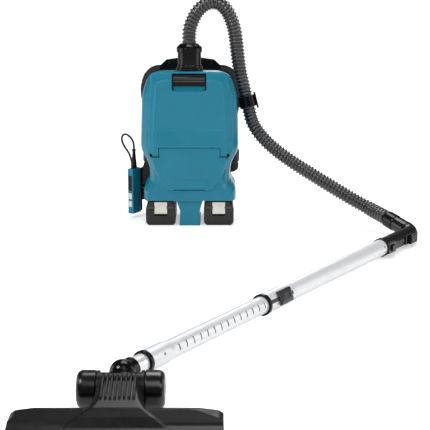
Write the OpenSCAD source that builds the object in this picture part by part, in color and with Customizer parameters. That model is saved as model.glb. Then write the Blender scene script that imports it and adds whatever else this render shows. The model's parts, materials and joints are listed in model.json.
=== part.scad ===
// Backpack vacuum cleaner: an upright pack with two batteries below it, a hose
// that leaves the top and hangs to a handle, a telescopic wand and a floor
// nozzle with a tilting, swivelling head. Millimetres, +Z up, front towards -Y,
// origin on the floor below the middle of the pack's centre leg.

/* [Pack case] */
// Width of the case at its widest
case_w = 232; // [216:1:250]
// Height of the top of the case above the floor
case_top = 366; // [356:1:380]
// Depth of the case without the harness
case_d = 152; // [148:1:160]
// Wall of the moulded shells
wall = 2.6; // [2:0.1:3.2]
// How far the waist is drawn in on each side
waist_in = 21; // [14:1:26]
// Width of the centre leg at the floor
leg_w = 47; // [36:1:52]

/* [Door] */
// Half-width of the door at its lower corners
door_half = 92; // [88:1:95]
// Height of the door's top edge below the case top
door_drop = 4; // [4:1:8]
// How far the middle of the door stands proud
panel_rise = 6; // [4:0.5:7]
// Gap around the door
door_gap = 0.8; // [0.6:0.1:1.2]
// Radius of the hinge pins
hinge_pin_r = 1.6; // [1.2:0.1:2]
// Width of the latch lever
lever_w = 74; // [60:1:76]

/* [Batteries] */
// Width of one battery
battery_w = 71; // [66:1:74]
// Length of one battery
battery_l = 115; // [100:1:118]
// Height of one battery
battery_h = 58; // [54:1:60]
// Distance of each battery from the middle of the pack
battery_x = 69; // [68:1:72]

/* [Inlet and hose] */
// Outer diameter of the hose
hose_d = 34; // [30:1:36]
// Outer diameter of the swivelling cuff
cuff_d = 55; // [50:1:58]
// Height of the swivelling cuff
cuff_h = 54.4; // [46:0.2:56]

/* [Control unit] */
// Width of the face with the buttons
control_w = 15.5; // [13:0.5:18]
// Depth of the control unit
control_d = 34; // [28:1:38]
// Height of the control unit
control_h = 110; // [96:1:116]
// Turn of the control unit about the vertical
control_turn = 33; // [25:1:40]

/* [Wand] */
// Outer radius of the lower, slotted tube
lower_r = 16; // [15:0.25:16.5]
// Wall of the wand's tubes
tube_wall = 1.4; // [1:0.1:1.8]
// Running clearance of the lower tube in the upper tube
slide_fit = 0.08; // [0.05:0.01:0.1]
// Length of the lower tube that shows
lower_show = 367; // [300:1:380]
// Length of the lower tube inside the upper tube
lower_tucked = 120; // [90:1:140]
// Length of the upper tube
upper_l = 513; // [480:1:560]
// Number of locking slots
slot_count = 14; // [8:1:14]
// Pitch of the locking slots
slot_pitch = 21; // [18:0.5:21]

/* [Handle] */
// Outer radius of the handle pipe
handle_r = 17.6; // [16.8:0.1:18]
// Straight length of the handle from its collar
handle_l = 159; // [150:1:165]
// Bend of the handle
handle_bend = 71; // [60:1:80]
// Radius of the bend on the centre line
handle_bend_r = 28; // [26:1:34]

/* [Nozzle] */
// Width of the nozzle
nozzle_w = 296; // [260:1:320]
// Depth of the nozzle's wings
nozzle_d = 76; // [68:1:84]
// Height of the wings at the back
nozzle_h = 33; // [30:1:36]
// Radius of the wheels
wheel_r = 28; // [27:0.5:30]
// Width of one wheel
wheel_w = 29; // [24:1:32]
// Width of the ribbed hump between the wheels
hump_w = 69; // [64:1:76]

/* [Hidden] */

TEAL = [0.16, 0.47, 0.56];
BLACK = [0.07, 0.07, 0.075];
GREY = [0.27, 0.26, 0.27];
PALE = [0.87, 0.86, 0.83];
SILVER = [0.83, 0.83, 0.84];
FABRIC = [0.1, 0.1, 0.11];

eps = 0.01;
seat = 0.3;              // gap between a soft piece and what it lies on
fit = 0.05;              // radial clearance of a turning fit
half_w = case_w / 2;
front_y = -case_d / 2;
back_y = case_d / 2;
border_y = front_y + panel_rise;   // plane of the case's front border
split_y = 12;            // seam between the main housing and the rear cover
split_drop = 4;          // fall of the case's top at the seam
back_drop = 9;           // and at the back
base_z = battery_h + 1;  // underside of the case
shelf_z = 165;           // floor of the dust chamber
door_top = case_top - door_drop;

// ---------- outlines and lofts ----------

function unit(v) = v / norm(v);
function left_of(v) = [-v.y, v.x];
function mirrored(right) = concat(right, [for (i = [len(right) - 1:-1:0]) [-right[i].x, right[i].y]]);
function both(list) = concat(list, [for (i = [len(list) - 1:-1:0]) list[i]]);

// Moves each edge of a counter-clockwise outline inwards by d
function inset(p, d) = [
    for (i = [0:len(p) - 1])
        let (a = p[(i + len(p) - 1) % len(p)], b = p[i], c = p[(i + 1) % len(p)],
             m = left_of(unit(b - a)), n = left_of(unit(c - b)))
        b + d * (m + n) / (1 + m * n)
];

// Rounds each corner with a curve that starts reach[i] before it
function rounded(p, reach, steps = 2) = [
    for (i = [0:len(p) - 1])
        let (a = p[(i + len(p) - 1) % len(p)], b = p[i], c = p[(i + 1) % len(p)],
             t = min(reach[i], 0.45 * norm(b - a), 0.45 * norm(c - b)),
             from = b + t * unit(a - b), to = b + t * unit(c - b))
        for (k = [0:steps])
            let (s = k / steps) pow(1 - s, 2) * from + 2 * s * (1 - s) * b + s * s * to
];

// Solid through outlines in XZ, given as [y, outline], front first, with its ends trimmed flat
module loft(sections) {
    first = sections[0];
    last = sections[len(sections) - 1];
    difference() {
        skin(concat([[first[0] - 1, first[1]]], sections, [[last[0] + 1, last[1]]]));
        translate([-case_w, first[0] - 2, -case_w]) cube([2 * case_w, 2, 3 * case_w]);
        translate([-case_w, last[0], -case_w]) cube([2 * case_w, 2, 3 * case_w]);
    }
}

module skin(sections) {
    n = len(sections[0][1]);
    last = (len(sections) - 1) * n;
    polyhedron(
        points = [for (s = sections) for (p = s[1]) [p.x, s[0], p.y]],
        faces = concat(
            [[for (i = [n - 1:-1:0]) i]],
            [for (k = [0:len(sections) - 2]) for (i = [0:n - 1])
                let (a = k * n + i, b = k * n + (i + 1) % n)
                each [[a, b, b + n], [a, b + n, a + n]]],
            [[for (i = [0:n - 1]) last + i]]),
        convexity = 8);
}

// Prism of an XZ outline between two values of y
module slab(outline, y0, y1) {
    translate([0, y1, 0]) rotate([90, 0, 0]) linear_extrude(y1 - y0) polygon(outline);
}

// Prism of a YZ outline, centred on x
module bar(outline, width) {
    rotate([90, 0, 90]) linear_extrude(width, center = true) polygon(outline);
}

module x_rod(r, length, fn = 48) {
    rotate([0, 90, 0]) cylinder(r = r, h = length, center = true, $fn = fn);
}

module pair() {
    children();
    mirror([1, 0, 0]) children();
}

// ---------- sweeps along a route ----------

function tangent(p, i) = unit(p[min(i + 1, len(p) - 1)] - p[max(i - 1, 0)]);
function square_to(v, t) = unit(v - (v * t) * t);
// Normals carried along the route without twist
function normals(p, n0, i = 0, made = []) =
    i == len(p) ? made :
    normals(p, n0, i + 1, concat(made, [square_to(i == 0 ? n0 : made[i - 1], tangent(p, i))]));

// Sweep of a closed section [[side, up], ...] along the route; a fixed side keeps
// the section level with first_side instead of carrying it along
module sweep(route, section, first_side, fixed = false) {
    side = fixed ? [for (i = [0:len(route) - 1]) square_to(first_side, tangent(route, i))]
                 : normals(route, first_side);
    n = len(section);
    last = (len(route) - 1) * n;
    polyhedron(
        points = [for (i = [0:len(route) - 1])
            let (t = tangent(route, i), up = cross(side[i], t))
            for (q = section) route[i] + q.x * side[i] + q.y * up],
        faces = concat(
            [[for (i = [n - 1:-1:0]) i]],
            [for (k = [0:len(route) - 2]) for (i = [0:n - 1])
                let (a = k * n + i, b = k * n + (i + 1) % n)
                each [[a, b, b + n], [a, b + n, a + n]]],
            [[for (i = [0:n - 1]) last + i]]),
        convexity = 8);
}

function ring(r, sides) = [for (k = [0:sides - 1]) r * [cos(360 * k / sides), sin(360 * k / sides)]];

// ---------- pack case ----------

hip_z = base_z + 29;
waist_z = base_z + 67;
waist_low_z = waist_z - 17;
waist_high_z = waist_z + 22;
flare_z = base_z + 119;
widest_z = base_z + 148;
// Half outline of the case; the bevel d is drawn out again at the top and the base
function case_right(d, drop) = [
    [half_w - 6 + 0.6 * d, base_z - 0.9 * d], [half_w - 6 + 0.6 * d, hip_z],
    [half_w - waist_in + 0.2 * d, waist_low_z], [half_w - waist_in + 3 + 0.1 * d, waist_high_z],
    [half_w, flare_z], [half_w, widest_z],
    [half_w - 4, case_top - 52 + 0.3 * d - drop], [half_w - 20, case_top - 9 + 0.7 * d - drop],
    [half_w - 48, case_top + 0.7 * d - drop]
];
case_reach = both([3, 8, 12, 12, 12, 24, 24, 13, 10]);
// Outline drawn in by a bevel d and a wall t, its top lowered by drop
function case_ring(d, t, drop = 0) = rounded(inset(mirrored(case_right(d, drop)), d + t), case_reach);

// Front part of the case, with its bevelled border, thinned by t all round
module case_front(t) {
    loft([
        [border_y + t, case_ring(24, t)],
        [border_y + 5 + t, case_ring(14, t)],
        [border_y + 22, case_ring(3, t)],
        [border_y + 40, case_ring(0, t)],
        [split_y, case_ring(0, t, split_drop)],
        if (t > 0) [split_y + 1, case_ring(0, t, split_drop)]
    ]);
}

module case_back(t) {
    loft([
        if (t > 0) [split_y - 1, case_ring(0, t, split_drop)],
        [split_y, case_ring(0, t, split_drop)],
        [back_y - 18, case_ring(0, t, back_drop)],
        [back_y - 6 - t / 2, case_ring(5, t, back_drop + 2)],
        [back_y - t, case_ring(14, t, back_drop + 10)]
    ]);
}

// Door and the raised panel that carries on below it
hinge_y = border_y + 7;
hinge_z = shelf_z + 10;
lobe_r = hinge_y - front_y;  // hinge lobes of the door, flush with its front
lobe_gap = 1.5;          // gap that lets the front swing clear below the lobes
lobe_in = 73;            // inner and outer ends of each lobe
lobe_out = door_half - 4.6;
corner_r = 9.4;          // clearance for the door's thin corner outside each lobe
slit_z = hinge_z - 7;    // slit that shows below each lobe
seam_r = 20;             // door's lower edge, about the hinge axis
seal_y = border_y + 16;  // plane of the rim that the seal sits on
door_edge_y = seal_y - 2;

door_right = [
    [door_half, slit_z], [door_half + 1, widest_z + 40],
    [door_half - 6, door_top - 4], [door_half - 16, door_top]
];
door_reach = both([2, 20, 8, 12]);
function door_ring(d) = rounded(inset(mirrored(door_right), d), door_reach);

raised_right = [
    [door_half - 4, slit_z + 1], [door_half - 5, widest_z + 40],
    [door_half - 12, door_top - 24], [door_half - 24, door_top - 13]
];
function raised_ring(d) = rounded(inset(mirrored(raised_right), d), door_reach);

lower_right = [
    [door_half - 40, base_z + 25], [door_half - 21, base_z + 45],
    [door_half, slit_z - 8], [door_half - 7, slit_z + 6]
];
function lower_ring(d) = rounded(inset(mirrored(lower_right), d), both([7, 12, 4, 2]));

// Half-width of the raised panel where it runs up between the hinge lobes
tongue_half = lobe_in - door_gap;

leg_half = leg_w / 2;
leg_right = [
    [leg_half + 1.5, 0], [leg_half + 1.5, 3], [leg_half, 5], [leg_half, 37], [leg_half + 8, base_z + 2]
];

inlet_y = -25;
port_r = 23;             // spigot that the cuff turns on
port_wall = 3;
flange_r = 32;

// Clearance cylinder of the door's lower edge round the hinge axis
module seam_cylinder(r, length) {
    translate([0, hinge_y, hinge_z]) x_rod(r, length, 96);
}

// Dust chamber above the shelf and motor chamber below it
module case_cavity() {
    difference() {
        children();
        translate([-half_w, front_y, shelf_z - wall]) cube([case_w, case_d, wall]);
    }
}

module tongue() {
    // rounded nose that closes the gap below the door as it turns
    intersection() {
        difference() {
            seam_cylinder(seam_r - door_gap, 2 * tongue_half);
            seam_cylinder(hinge_y - front_y - 0.6 - wall, 2 * (tongue_half - 6));
        }
        translate([-tongue_half, front_y + 0.6, hinge_z - 11]) cube([2 * tongue_half, seal_y - front_y, 40]);
    }
}

module main_housing() {
    color(TEAL) difference() {
        union() {
            difference() {
                case_front(0);
                case_cavity() case_front(wall);
            }
            // raised lower panel
            loft([
                [front_y + 0.6, lower_ring(5)],
                [front_y + 2, lower_ring(3)],
                [border_y + 1, lower_ring(0)]
            ]);
            tongue();
            // collar and rim round the door opening
            difference() {
                intersection() {
                    slab(inset(mirrored(door_right), -door_gap - wall), border_y + 1, seal_y + 3);
                    translate([-half_w, front_y, hinge_z + 6]) cube([case_w, 40, case_top]);
                }
                slab(inset(mirrored(door_right), -door_gap), front_y, seal_y);
                slab(inset(mirrored(door_right), 6), front_y, seal_y + 9);
            }
            // boss under the inlet's flange
            translate([0, inlet_y, case_top - 5]) cylinder(r = flange_r + 1.5, h = 5, $fn = 96);
            // centre leg
            slab(mirrored(leg_right), border_y + 6, split_y);
        }
        // door opening, all round the lobes and the lower edge
        difference() {
            slab(inset(mirrored(door_right), -door_gap), front_y - 10, seal_y);
            translate([-tongue_half, front_y - 11, 0]) cube([2 * tongue_half, 60, hinge_z]);
            seam_cylinder(seam_r - door_gap, 2 * tongue_half);
            translate([-half_w, front_y - 11, 0]) cube([case_w, 60, hinge_z - 2]);
        }
        // pockets of the hinge lobes
        pair() translate([(lobe_in + lobe_out) / 2, hinge_y, hinge_z])
            x_rod(lobe_r + lobe_gap, lobe_out - lobe_in + 2 * door_gap, 96);
        pair() translate([lobe_out, hinge_y, hinge_z]) x_rod(corner_r, 2 * (door_half + 1 - lobe_out + door_gap), 96);
        // bores of the hinge pins
        pair() translate([lobe_in - 3, hinge_y, hinge_z]) x_rod(hinge_pin_r + fit, 8);
        // inlet
        translate([0, inlet_y, case_top - 12]) cylinder(r = port_r + seat, h = 24, $fn = 96);
        // row of outlet slots along the foot of the raised panel
        for (i = [-6:6]) translate([i * 5.8 - 1.8, front_y - 2, base_z + 27.2]) cube([3.6, 20, 3.6]);
        // way for the filtered air through the shelf
        translate([-50, inlet_y - 15, shelf_z - wall - 1]) cube([100, 50, wall + 2]);
        tray_opening();
        // clearance for the leg's hollow back
        translate([-leg_half + wall, border_y + 6 + wall, wall])
            cube([leg_w - 2 * wall, split_y - border_y - 6 - wall + 1, base_z - wall - 1]);
    }
}

module rear_cover() {
    color(TEAL) difference() {
        union() {
            difference() {
                case_back(0);
                case_cavity() case_back(wall);
            }
            slab(mirrored(leg_right), split_y + eps, back_y - 14);
            screw_places() cylinder(r = 5, h = 34, $fn = 32);
        }
        screw_places() translate([0, 0, -1]) cylinder(r = screw_head_r + 0.2, h = 4, $fn = 32);
        screw_places() cylinder(r = screw_r + 0.1, h = 40, $fn = 32);
        translate([-leg_half + wall, split_y - 1, wall])
            cube([leg_w - 2 * wall, back_y - 14 - split_y - wall + 1, base_z - wall - 1]);
        tray_opening();
        // outlet louvres on the sides, above the batteries
        pair() for (i = [0:5]) translate([half_w - 20, 24 + i * 6, base_z + 17]) cube([20, 3, 20]);
    }
}

screw_r = 2;
screw_head_r = 3.8;
module screw_places() {
    pair() for (z = [base_z + 14, shelf_z + 30, case_top - 40])
        translate([half_w - 32, back_y, z]) rotate([90, 0, 0]) children();
}

module case_screws() {
    color(SILVER) screw_places() {
        translate([0, 0, 0.4]) cylinder(r = screw_head_r, h = 2.4, $fn = 32);
        translate([0, 0, 1]) cylinder(r = screw_r, h = 24, $fn = 24);
    }
}

// ---------- door, latch and seal ----------

lip = 1.5;               // overhang that hides the gap at the door's sides
lip_t = 0.8;
recess_right = [
    [30, door_top - 43], [40.5, door_top - 37], [40.5, door_top - 1.5]
];

module front_door() {
    color(TEAL) difference() {
        union() {
            difference() {
                loft([
                    [front_y, raised_ring(3)],
                    [front_y + 1.5, raised_ring(0.8)],
                    [border_y - seat - lip_t, door_ring(-lip)],
                    [border_y - seat, door_ring(-lip)],
                    [border_y - seat + 0.1, door_ring(0)],
                    [door_edge_y, door_ring(0)]
                ]);
                loft([
                    [front_y + wall, raised_ring(5)],
                    [border_y + wall, raised_ring(1)],
                    [border_y + wall + 1, door_ring(wall)],
                    [door_edge_y + 1, door_ring(wall)]
                ]);
                translate([-half_w, front_y - 5, 0]) cube([case_w, 60, hinge_z]);
            }
            // hinge lobes
            pair() difference() {
                translate([(lobe_in + lobe_out) / 2, hinge_y, hinge_z]) x_rod(lobe_r, lobe_out - lobe_in, 96);
                translate([0, door_edge_y, 0]) cube([door_half, 20, case_top]);
            }
            // web between lobe and shell
            pair() translate([lobe_in, hinge_y - 3, hinge_z]) cube([wall, 10, 22]);
            // lower edge
            intersection() {
                difference() {
                    seam_cylinder(seam_r + wall, 2 * lobe_in);
                    seam_cylinder(seam_r, 2 * lobe_in + 2);
                }
                translate([-lobe_in, front_y + 0.4, hinge_z + 4])
                    cube([2 * lobe_in, door_edge_y - front_y - 0.4, 30]);
            }
            // block behind the latch
            slab(mirrored([[recess_right[0].x + 3, recess_right[0].y - 3],
                           [recess_right[1].x + 3, recess_right[1].y - 2],
                           [recess_right[1].x + 3, door_top - 1]]), border_y + 1, door_edge_y - 1);
        }
        seam_cylinder(seam_r, 2 * lobe_in);
        translate([-lobe_in, front_y - 5, 0]) cube([2 * lobe_in, 40, hinge_z + 2]);
        pair() translate([lobe_in, hinge_y, hinge_z]) x_rod(hinge_pin_r, 24);
        // scoop of the latch
        slab(mirrored(recess_right), front_y - 5, latch_back_y);
        translate([-lever_w / 2 - 3.1, front_y - 5, door_top - 5])
            cube([lever_w + 6.2, latch_back_y - front_y + 5, 10]);
        // way for the hook
        translate([-12, latch_back_y - 1, pivot_z - 11]) cube([24, 20, 17.2]);
    }
}

latch_back_y = border_y + 11;
pivot_y = border_y + 6;
pivot_z = door_top - 5;

module latch_bezel() {
    cheek = 0.4 + (81 - lever_w - 1.2) / 2;
    color(BLACK) difference() {
        slab(inset(mirrored(recess_right), 0.4), border_y - 1, latch_back_y - 0.1);
        slab(inset(mirrored([recess_right[0], recess_right[1], [recess_right[1].x, door_top + 9]]), cheek),
            front_y - 5, latch_back_y - wall);
        translate([-12.6, latch_back_y - 5, pivot_z - 11]) cube([25.2, 20, 15]);
        translate([0, pivot_y, pivot_z]) x_rod(lever_pin_r + fit, 100);
    }
}

lever_pin_r = 2;
rim_back = seal_y + 3 - pivot_y;   // back of the rim that the hook catches behind
module latch_lever() {
    color(GREY) {
        // curved lever, hung at its top edge
        translate([0, pivot_y, pivot_z]) {
            x_rod(lever_pin_r, lever_w + 4);
            difference() {
                bar(concat(
                    [for (a = [90:18:180]) [4 * cos(a) - 1, 3.2 * sin(a)]],
                    [[-9.6, -3], [-11.4, -9], [-11, -15], [-8.4, -15], [-8, -9], [-6, -5.5], [-1, -4], [1.4, -4], [2, 0], [1.2, 2]]),
                    lever_w);
                translate([0, -4, -9]) cube([34, 3, 3], center = true);
            }
            // hook
            bar([[0, -7], [rim_back + 2.4, -7], [rim_back + 2.4, 1], [rim_back + 0.5, 2.4], [rim_back + 0.5, -2.4], [0, -2.4]], 22);
        }
    }
}

module door_seal() {
    color(BLACK) difference() {
        slab(inset(mirrored(door_right), 0.4), seal_y - 1.6, seal_y);
        slab(inset(mirrored(door_right), 4.6), seal_y - 3, seal_y + 1);
        translate([-half_w, seal_y - 3, 0]) cube([case_w, 6, hinge_z + 24]);
    }
}

module hinge_pins() {
    color(SILVER) pair() translate([lobe_in + 2.5, hinge_y, hinge_z]) x_rod(hinge_pin_r, 17, 32);
}

// ---------- inlet ----------

port_top = case_top + 7;
module inlet_port() {
    color(BLACK) translate([0, inlet_y, 0]) difference() {
        union() {
            translate([0, 0, case_top]) cylinder(r = flange_r, h = port_top - case_top, $fn = 96);
            translate([0, 0, port_top]) cylinder(r = port_r, h = 22, $fn = 96);
            translate([0, 0, case_top - 42]) cylinder(r = port_r, h = 42, $fn = 96);
            translate([0, 0, case_top - 30]) cylinder(r = port_r + 3, h = 3, $fn = 64);
        }
        translate([0, 0, case_top - 43]) cylinder(r = port_r - port_wall, h = 90, $fn = 96);
    }
}

cuff_z = port_top + 0.3;
hose_start_z = cuff_z + cuff_h + 0.3;
module inlet_cuff() {
    collar_r = cuff_d / 2 + 2.3;
    color(BLACK) translate([0, inlet_y, cuff_z]) rotate_extrude($fn = 96) polygon([
        [port_r + fit, 0], [cuff_d / 2 + 1, 0], [cuff_d / 2 + 1, 5], [cuff_d / 2, 6],
        [cuff_d / 2, cuff_h - 20], [collar_r, cuff_h - 19], [collar_r, cuff_h - 9],
        [collar_r - 3, cuff_h - 5], [hose_d / 2 + 4, cuff_h], [hose_d / 2 - 2.5, cuff_h],
        [hose_d / 2 - 2.5, 26], [port_r + fit, 23]
    ]);
}

module bag_plate() {
    color(PALE) translate([0, inlet_y, case_top - 36]) difference() {
        translate([-45, -27, 0]) cube([90, 60, 3]);
        translate([0, 0, -1]) cylinder(r = port_r + seat, h = 5, $fn = 96);
    }
}

module dust_bag() {
    bag_top = case_top - 42.3;
    bag_z = shelf_z + 6;
    right = [[lobe_in + 1, bag_z], [door_half - 12, (bag_z + bag_top) / 2], [door_half - 32, bag_top]];
    color(PALE) loft([
        [seal_y + 8, rounded(inset(mirrored(right), 12), both([14, 30, 14]))],
        [seal_y + 22, rounded(mirrored(right), both([14, 30, 14]))],
        [split_y + 30, rounded(mirrored(right), both([14, 30, 14]))],
        [split_y + 46, rounded(inset(mirrored(right), 12), both([14, 30, 14]))]
    ]);
}

// ---------- filter, fan and electronics ----------

module hepa_filter() {
    frame_w = 128;
    frame_d = 84;
    pleats = 20;
    top = shelf_z - wall;
    color(PALE) translate([0, 6, 0]) {
        difference() {
            translate([-frame_w / 2, -frame_d / 2, top - 20]) cube([frame_w, frame_d, 20]);
            translate([-frame_w / 2 + 4, -frame_d / 2 + 4, top - 21]) cube([frame_w - 8, frame_d - 8, 22]);
        }
        // folded paper, one sheet from side to side
        step = (frame_w - 8) / pleats;
        folds = [for (i = [0:2 * pleats]) [-frame_w / 2 + 4 + i * step / 2, top - 18 + (i % 2) * 15]];
        translate([0, frame_d / 2 - 4, 0]) rotate([90, 0, 0]) linear_extrude(frame_d - 8)
            polygon(concat(folds, [for (i = [2 * pleats:-1:0]) folds[i] + [0, 1.6]]));
    }
}

fan_y = 6;
fan_top = shelf_z - wall - 21;
fan_r = 36;
module motor_housing() {
    color(GREY) translate([0, fan_y, 0]) {
        rotate_extrude($fn = 72) polygon([
            [fan_r - 12, fan_top], [fan_r + 3, fan_top - 1], [fan_r + 5, fan_top - 4], [fan_r + 5, base_z + 3],
            [30, base_z + 3], [30, base_z + 6], [fan_r + 2, base_z + 6], [fan_r + 2, fan_top - 4],
            [fan_r - 12, fan_top - 3]
        ]);
        for (a = [45:90:315]) rotate(a) translate([fan_r + 4, -4, base_z + 3.6]) cube([8, 8, 5]);
    }
}

shaft_r = 3;
module motor() {
    color(SILVER) translate([0, fan_y, base_z + 6]) difference() {
        union() {
            cylinder(r = 27, h = 34, $fn = 72);
            cylinder(r = 33, h = 3, $fn = 72);
            translate([0, 0, 34]) cylinder(r = 10, h = 4, $fn = 48);
        }
        translate([0, 0, -1]) cylinder(r = shaft_r + fit, h = 50, $fn = 48);
        for (a = [0:30:330]) rotate(a) translate([18, -1.5, 4]) cube([6, 3, 40]);
    }
}

impeller_z = base_z + 46;
module impeller() {
    color(GREY) translate([0, fan_y, impeller_z]) difference() {
        union() {
            cylinder(r = fan_r, h = 2, $fn = 72);
            cylinder(r = 8, h = 16, $fn = 48);
            for (a = [0:40:320]) rotate(a) translate([8, 0, 1]) rotate(-25)
                translate([-1, 0, 0]) cube([27, 1.6, 13]);
        }
        translate([0, 0, -1]) cylinder(r = shaft_r, h = 20, $fn = 48);
    }
}

module motor_shaft() {
    color(SILVER) translate([0, fan_y, base_z + 8]) cylinder(r = shaft_r, h = 52, $fn = 48);
}

module control_board() {
    board_z = base_z + 41;
    color([0.1, 0.35, 0.2]) translate([0, back_y - wall - 9, 0]) {
        translate([-75, 0, board_z - 28]) cube([150, 1.6, 52]);
        for (x = [-60, -34, 30]) translate([x, -10, board_z - 20]) cube([16, 10, 22]);
        for (x = [-8, 8]) translate([x, 0, board_z - 14]) rotate([90, 0, 0]) cylinder(r = 6, h = 14, $fn = 32);
        // stand-offs
        for (x = [-70, 70]) for (z = [board_z - 18, board_z + 20]) translate([x, 1.6, z])
            rotate([-90, 0, 0]) cylinder(r = 3, h = 7.2, $fn = 24);
    }
}

// ---------- base tray and batteries ----------

battery_front = front_y + 10;
battery_back = battery_front + battery_l;
neck_w = battery_w - 15;
lip_h = 3.2;
lip_z = battery_h - 12;
tray_t = 3;
tray_in = leg_half + 11;   // inner edge of each plate

// Plate of the tray on one side, and the opening for it in the case's floor
module tray_plate(gap) {
    translate([tray_in - gap, battery_front + 4 - gap, base_z - (gap > 0 ? 4 : 0)])
        cube([half_w - 12 - wall - tray_in + 2 * gap, battery_l + 14 + 2 * gap, tray_t + (gap > 0 ? 4.2 : 0)]);
}
module tray_opening() {
    pair() tray_plate(0.2);
}

module base_tray() {
    color(BLACK) difference() {
        union() {
            pair() tray_plate(0);
            // rails that grip the neck of each battery
            pair() translate([battery_x, 0, 0]) pair() {
                translate([neck_w / 2 + 0.4, battery_front + 4, lip_z + 0.4])
                    cube([3.4, battery_l + 7, base_z - lip_z]);
                translate([neck_w / 2 - 2.6, battery_front + 4, lip_z + 0.4])
                    cube([6, battery_l + 7, lip_h - 0.8]);
            }
            // stop behind each battery
            pair() translate([battery_x - neck_w / 2, battery_back + 8.2, lip_z + 0.4])
                cube([neck_w, 2.8, base_z - lip_z]);
        }
        pair() translate([battery_x - 6, battery_back - 30, base_z - 1]) cube([12, 20, 5]);
    }
}

// Terminal block at the inner end of each rail
module battery_terminals() {
    color(GREY) pair() translate([battery_x, battery_back, 0]) {
        translate([-18, 0.4, lip_z + 4]) cube([36, 7.8, base_z - lip_z - 4]);
        for (x = [-12, 12]) translate([x - 0.5, 1, lip_z + 5]) cube([1, 6, base_z - lip_z - 5]);
    }
}

button_w = 30;
button_h = 28;
button_t = 6;
button_travel = 4;
module battery() {
    w = battery_w / 2;
    top = battery_h;
    difference() {
        intersection() {
            slab(mirrored([[w - 7, 0], [w - 1, 6], [w, 14], [w, lip_z - 4], [w - 2, lip_z]]), battery_front, battery_back);
            bar([[battery_front + 5, 0], [battery_back - 3, 0], [battery_back, 3], [battery_back, top],
                 [battery_front, top], [battery_front, 8]], battery_w + 2);
        }
        button_pocket();
    }
    // neck with a groove each side
    difference() {
        slab(mirrored([[neck_w / 2 - 3, lip_z - 1], [neck_w / 2 - 3, lip_z + lip_h],
                       [neck_w / 2, lip_z + lip_h], [neck_w / 2, top - 1], [neck_w / 2 - 1, top]]),
            battery_front + 1, battery_back);
        button_pocket();
    }
    // shoulder beside the button
    difference() {
        slab(mirrored([[w - 2, lip_z - 1], [w - 3, lip_z + 5], [neck_w / 2 - 4, lip_z + 8], [neck_w / 2 - 4, lip_z - 1]]),
            battery_front, battery_front + 2.6);
        button_pocket();
    }
}

module button_pocket() {
    translate([-button_w / 2 - 0.4, battery_front - 1, battery_h - button_h - button_travel - 2])
        cube([button_w + 0.8, button_t + 1.4, button_h + button_travel + 4]);
}

module battery_left() {
    color(GREY) translate([-battery_x, 0, 0]) battery();
}
module battery_right() {
    color(GREY) translate([battery_x, 0, 0]) battery();
}

module battery_button() {
    translate([0, battery_front, battery_h - button_h - 1]) difference() {
        translate([-button_w / 2, 0, 0]) cube([button_w, button_t, button_h]);
        for (z = [button_h - 6, button_h - 10]) translate([-9, -1, z]) cube([18, 1.6, 1.6]);
    }
}
module battery_button_left() {
    color(PALE) translate([-battery_x, 0, 0]) battery_button();
}
module battery_button_right() {
    color(PALE) translate([battery_x, 0, 0]) battery_button();
}

// ---------- harness ----------

frame_y = back_y + seat;
module back_frame() {
    top = case_top + 20;
    right = [
        [58, base_z + 12], [70, base_z + 40], [70, waist_z + 60], [56, waist_z + 90],
        [56, case_top - 60], [74, case_top - 14], [74, case_top], [58, top - 5], [22, top]
    ];
    color(BLACK) difference() {
        union() {
            slab(mirrored(right), frame_y, frame_y + 5);
            // ribs along the top
            for (i = [-5:5]) translate([i * 10 - 1.5, frame_y - 2, case_top + 3]) cube([3, 3, 11 + (abs(i) < 3 ? 2 : 0)]);
            // lumbar ledge
            translate([-60, frame_y + 5, base_z + 46]) cube([120, 4, 6]);
        }
        // slots that the shoulder straps pass through
        pair() for (z = [case_top - 22, case_top - 36]) translate([28, frame_y - 1, z]) cube([38, 8, 5]);
        pair() for (z = [base_z + 50, base_z + 62]) translate([34, frame_y - 1, z]) cube([30, 8, 4]);
        for (z = [waist_z + 70:30:case_top - 70]) translate([-30, frame_y - 1, z]) cube([60, 8, 14]);
    }
}

pad_y = frame_y + 5 + seat;
module back_pad() {
    right = [
        [36, waist_z + 10], [40, waist_z + 40], [58, waist_z + 64], [58, waist_z + 90],
        [48, case_top - 52], [30, case_top - 44]
    ];
    reach = both([12, 10, 10, 16, 16, 8]);
    color(FABRIC) loft([
        [pad_y, rounded(mirrored(right), reach)],
        [pad_y + 8, rounded(mirrored(right), reach)],
        [pad_y + 15, rounded(inset(mirrored(right), 8), reach)]
    ]);
}

strap_section = [[-23, -4], [23, -4], [24.5, 0], [23, 4], [-23, 4], [-24.5, 0]];
strap_route = [
    [46, 85.6, 350], [66, 97, 360], [88, 107, 357], [103, 113, 338], [108, 118, 308], [106, 122, 268],
    [99, 123, 230], [90, 119, 200], [82, 112, 180]
];
// Webbing from the pad's lower end back to the frame
web_route = [
    [83, 113, 184], [77, 109, 176], [63, 102, 169], [51, 92, 156], [52, 84.4, 144], [53, 82.8, 130], [53, 82.8, 112]
];
module shoulder_strap() {
    sweep(strap_route, strap_section, [-0.5, 0, 0.85]);
    sweep(web_route, [[-10, -0.9], [10, -0.9], [10, 0.9], [-10, 0.9]], [1, 0, 0], true);
}
module shoulder_strap_left() {
    color(FABRIC) mirror([1, 0, 0]) shoulder_strap();
}
module shoulder_strap_right() {
    color(FABRIC) shoulder_strap();
}

hip_section = [[-36, -5], [34, -5], [38, 0], [34, 5], [-36, 5], [-39, 0]];
hip_route = [[64, 86.8, 132], [86, 88, 133], [104, 95, 134], [112, 108, 135], [112, 124, 136], [104, 139, 136]];
module hip_pad() {
    sweep(hip_route, hip_section, [0, 0, 1]);
}
module hip_pad_left() {
    color(FABRIC) mirror([1, 0, 0]) hip_pad();
}
module hip_pad_right() {
    color(FABRIC) hip_pad();
}

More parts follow.
